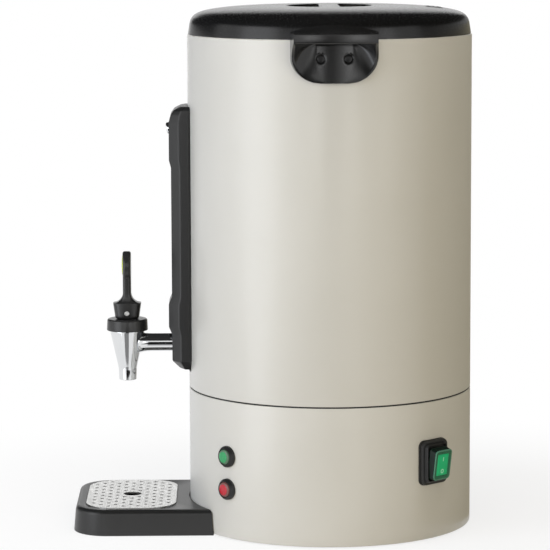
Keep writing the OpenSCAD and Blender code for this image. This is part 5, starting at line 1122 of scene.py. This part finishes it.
piece("switch_boot_panel", [panel], boot_panel, body="rocker", crease=40)

# %% Switch marks
MARK_BACK, MARK_FACE, ON_UP, OFF_UP = BOOT_FACE - 0.6, BOOT_FACE + 0.05, 4.7, -5.2
STROKE_W, STROKE_H, RING_IN, RING_OUT = 0.9, 3.2, 0.9, 1.8
stroke = soft_box(stack(STROKE_W, STROKE_H, MARK_FACE, [
    (0, 0, 0.2, MARK_BACK - MARK_FACE), (0, 0, 0.2, -0.1), (-0.2, -0.2, 0.15, 0)]))
ring_line = rounded([(RING_IN, MARK_BACK), (RING_IN, MARK_FACE), (RING_OUT, MARK_FACE),
                     (RING_OUT, MARK_BACK)], [0, 0.1, 0.1, 0], 3)
ring = turned(ring_line, 64)
piece("switch_marks", [leaned(stroke + [0, ON_UP, 0]), hoop(leaned(ring + [0, OFF_UP, 0]))], mark_ink,
      body="rocker")

# %% [markdown]
# ## The floor and the light
# The photograph is a product shot: white all round, a tall soft light from the camera's
# left and little light from the right. The floor shows white to the camera and in
# reflections, mixed with a share of plain diffuse near the urn that keeps its faint shadow.
# The world does the same: what is seen is white, and what lights the urn falls off softly
# to the right. Dark, grey and bright cards stand round the urn, as in a studio: they give
# chrome and gloss their dark lines and soft streaks, and they are seen in reflections alone.

# %% Floor
scene = bpy.context.scene
scene.view_settings.view_transform = "Standard"


def sheet(name, corners, material):
    """A flat stage piece through four corners in metres."""
    mesh = bpy.data.meshes.new(name)
    mesh.from_pydata(corners, [], [(0, 1, 2, 3)])
    mesh.materials.append(material)
    made = bpy.data.objects.new(name, mesh)
    scene.collection.objects.link(made)
    return made


def upright(x0, y0, x1, y1, low, high):
    """Corners of a card that stands on the line from (x0, y0) to (x1, y1)."""
    return [(x0, y0, low), (x1, y1, low), (x1, y1, high), (x0, y0, high)]


def lying(z, *corners):
    """Corners of a card that lies at height z."""
    return [(x, y, z) for x, y in corners]


def seen_or_reflected(tree):
    """1 for a ray from the camera, a reflection or a transmission, and 0 for the rest."""
    path = add(tree, "ShaderNodeLightPath").outputs
    seen = path["Is Camera Ray"]
    for kind in ("Is Glossy Ray", "Is Transmission Ray"):
        seen = add(tree, "ShaderNodeMath", {"operation": "MAXIMUM"}, {0: seen, 1: path[kind]}).outputs[0]
    return seen


# Matt white paper. From FAR metres on it glows fully; nearer than NEAR only by a share, WHITE_NEAR,
# which leaves room for the shadow
FLOOR, NEAR, FAR, WHITE_NEAR = 30.0, 0.22, 0.5, 0.74
paper = bpy.data.materials.new("white_paper_sweep")
tree = emptied(paper)
away = add(tree, "ShaderNodeVectorMath", {"operation": "LENGTH"},
           {0: add(tree, "ShaderNodeTexCoord").outputs["Object"]}).outputs["Value"]
glow = add(tree, "ShaderNodeMapRange", {"interpolation_type": "SMOOTHSTEP"},
           {"Value": away, "From Min": NEAR, "From Max": FAR, "To Min": WHITE_NEAR, "To Max": 1.0})
seen = seen_or_reflected(tree)
share = add(tree, "ShaderNodeMath", {"operation": "MULTIPLY"}, {0: seen, 1: glow.outputs[0]})
matt = add(tree, "ShaderNodeBsdfDiffuse", {}, {"Color": blend(tree, seen, "#d2ccc2", "#fcfcfc")})
white = add(tree, "ShaderNodeEmission", {}, {"Color": linear("#ffffff"), "Strength": 1.0})
both = add(tree, "ShaderNodeMixShader", {}, {0: share.outputs[0], 1: matt.outputs[0], 2: white.outputs[0]})
add(tree, "ShaderNodeOutputMaterial", {}, {"Surface": both.outputs[0]})
sheet("floor", lying(0, (-FLOOR, -FLOOR), (FLOOR, -FLOOR), (FLOOR, FLOOR), (-FLOOR, FLOOR)), paper)
print("floor:", 2 * FLOOR, "m wide")

# %% Cards
# Tone, strength and corners in metres
CARDS = {
    "card_behind_camera": ("#161616", 1.0, upright(3.3, -0.7, 3.3, 0.2, 0, 0.7)),
    "card_before_table": ("#161616", 1.0, lying(0, (0.4, -0.3), (3.3, -0.7), (3.3, 0.2), (0.4, 0.1))),
    "card_by_tap": ("#8c8c8c", 1.0, lying(0, (0.2, -0.25), (0.4, -0.28), (0.4, -0.1), (0.2, -0.12))),
    "card_overhead": ("#303030", 1.0, lying(1.6, (-4.5, -3), (3.3, -3), (3.3, 3), (-4.5, 3))),
    "card_back": ("#ffffff", 1.3, upright(-4.5, -3, -4.5, 3, 0, 1.6)),
    "card_right": ("#a39c86", 1.0, upright(0.6, 2.2, -2.5, 0.7, 0, 0.5)),
    "card_right_middle": ("#a8a8a8", 1.0, upright(0.6, 2.2, -2.5, 0.7, 0.5, 0.8)),
    "card_right_high": ("#303030", 1.0, upright(0.6, 2.2, -2.5, 0.7, 0.8, 1.6)),
    "card_right_floor": ("#a39c86", 1.0, lying(0, (0.6, 2.2), (-2.5, 0.7), (-0.25, 0.118), (0.12, 0.118))),
    "card_left": ("#c8c8c8", 1.0, upright(-0.6, -2.2, -2.5, -0.9, 0, 0.5)),
    "card_left_high": ("#303030", 1.0, upright(-0.6, -2.2, -2.5, -0.9, 0.5, 1.6)),
    "strip_left": ("#ffffff", 3.9, upright(2.85, -0.87, 2.96, -0.38, 0.1, 0.6)),
    "strip_middle": ("#ffffff", 3.9, upright(2.93, 0.52, 2.81, 0.99, 0.1, 0.6)),
    "strip_right": ("#ffffff", 2.4, upright(1.97, 1.54, 1.61, 1.91, 0, 1.2)),
    "key_card": ("#fcfdff", 2.7, upright(0.37, -1.29, 0.97, -0.93, 0, 0.9)),
    "key_on_table": ("#f4f8ff", 3.0, lying(0, (0.2, -0.34), (0.45, -1.2), (0.92, -0.9), (0.3, -0.37))),
}
OVER_FLOOR = 0.002
for name, (tone, strength, corners) in CARDS.items():
    felt = bpy.data.materials.new(name + "_felt")
    tree = emptied(felt)
    shown = add(tree, "ShaderNodeEmission", {}, {"Color": linear(tone), "Strength": strength})
    add(tree, "ShaderNodeOutputMaterial", {}, {"Surface": shown.outputs[0]})
    card = sheet(name, [(x, y, z + OVER_FLOOR) for x, y, z in corners], felt)
    for ray in ("camera", "diffuse", "transmission", "shadow"):
        setattr(card, "visible_" + ray, False)
print("cards:", len(CARDS))

# %% World
LIT_FROM, LIT_LEAST = (0.8, -0.45, 0.1), 0.1
world = bpy.data.worlds.new("studio")
scene.world = world
tree = emptied(world)
toward = add(tree, "ShaderNodeTexCoord").outputs["Generated"]
lean = add(tree, "ShaderNodeVectorMath", {"operation": "DOT_PRODUCT"}, {0: toward, 1: LIT_FROM})
level = add(tree, "ShaderNodeMath", {"operation": "ADD", "use_clamp": True},
            {0: lean.outputs["Value"], 1: LIT_LEAST})
along_y = add(tree, "ShaderNodeSeparateXYZ", {}, {0: toward}).outputs[1]
side = add(tree, "ShaderNodeMapRange", {}, {"Value": along_y, "From Min": -1.0, "From Max": 1.0})
tone = blend(tree, side.outputs[0], "#e6efff", "#f2d278")
glow = add(tree, "ShaderNodeBackground", {}, {"Color": tone, "Strength": level.outputs[0]})
white = add(tree, "ShaderNodeBackground", {}, {"Color": linear("#ffffff"), "Strength": 1.0})
both = add(tree, "ShaderNodeMixShader", {},
           {0: seen_or_reflected(tree), 1: glow.outputs[0], 2: white.outputs[0]})
add(tree, "ShaderNodeOutputWorld", {}, {"Surface": both.outputs[0]})
print("world:", world.name)

# %% Lights
AIM = np.array([0, 0, 0.22])  # metres: the middle of the urn


def softbox(name, angle, distance, height, size, power, tint="#ffffff"):
    """A rectangular light at an angle from +X about Z, turned to face the middle of the urn and
    not seen in reflections. Lengths are in metres, the size is width and height, the power is
    in watts."""
    lamp = bpy.data.lights.new(name, "AREA")
    lamp.shape = "RECTANGLE"
    lamp.size, lamp.size_y = size
    lamp.energy = power
    lamp.color = linear(tint)[:3]
    made = bpy.data.objects.new(name, lamp)
    scene.collection.objects.link(made)
    angle = np.radians(angle)
    place = np.array([distance * np.cos(angle), distance * np.sin(angle), height])
    back = (place - AIM) / np.linalg.norm(place - AIM)
    right = np.cross((0, 0, 1), back)
    right = right / np.linalg.norm(right)
    turn = np.eye(4)
    turn[:3] = np.column_stack([right, np.cross(back, right), back, place])
    made.matrix_world = Matrix(turn.tolist())
    made.visible_glossy = False


softbox("key", -59, 1.3, 0.42, (0.7, 1.0), 9.2, "#e4eeff")
softbox("fill", 22, 2.0, 0.8, (0.8, 1.2), 8.2, "#fbfcf6")
softbox("top", 0, 0.01, 2.2, (1.6, 1.6), 26)

# %% [markdown]
# ## The camera
# The photograph was taken from far off with a long lens, nearly straight at the side of
# the urn and a little from above. The lens and place below were found by fitting measured
# points of the photograph; there is no shift.

# %% Camera
LENS, SENSOR = 188.65, 36.0
SIDE, YAW, TILT, ROLL = np.radians([2.0, -1.095, 7.468, -0.202])
DISTANCE, HEIGHT = 2.3353, 0.5083
right = np.array([np.cos(YAW), -np.sin(YAW), 0])
forward = np.array([np.sin(YAW) * np.cos(TILT), np.cos(YAW) * np.cos(TILT), -np.sin(TILT)])
up = np.cross(right, forward)
right, up = right * np.cos(ROLL) + up * np.sin(ROLL), up * np.cos(ROLL) - right * np.sin(ROLL)
to_frame = np.array([[np.sin(SIDE), -np.cos(SIDE), 0], [np.cos(SIDE), np.sin(SIDE), 0], [0, 0, 1]])
turn = np.eye(4)
turn[:3] = to_frame @ np.column_stack([right, up, -forward, (0, -DISTANCE, HEIGHT)])
view = bpy.data.cameras.new("camera")
view.lens, view.sensor_width, view.clip_start, view.clip_end = LENS, SENSOR, 0.1, 50
camera = bpy.data.objects.new("camera", view)
camera.matrix_world = Matrix(turn.tolist())
scene.collection.objects.link(camera)
scene.camera = camera
print("camera at", turn[:3, 3].round(3))

# %% [markdown]
# ## The last line
# The last line brings the view layer up to date, so that every piece
# stands where its matrix puts it.

# %% Last line
bpy.context.view_layer.update()
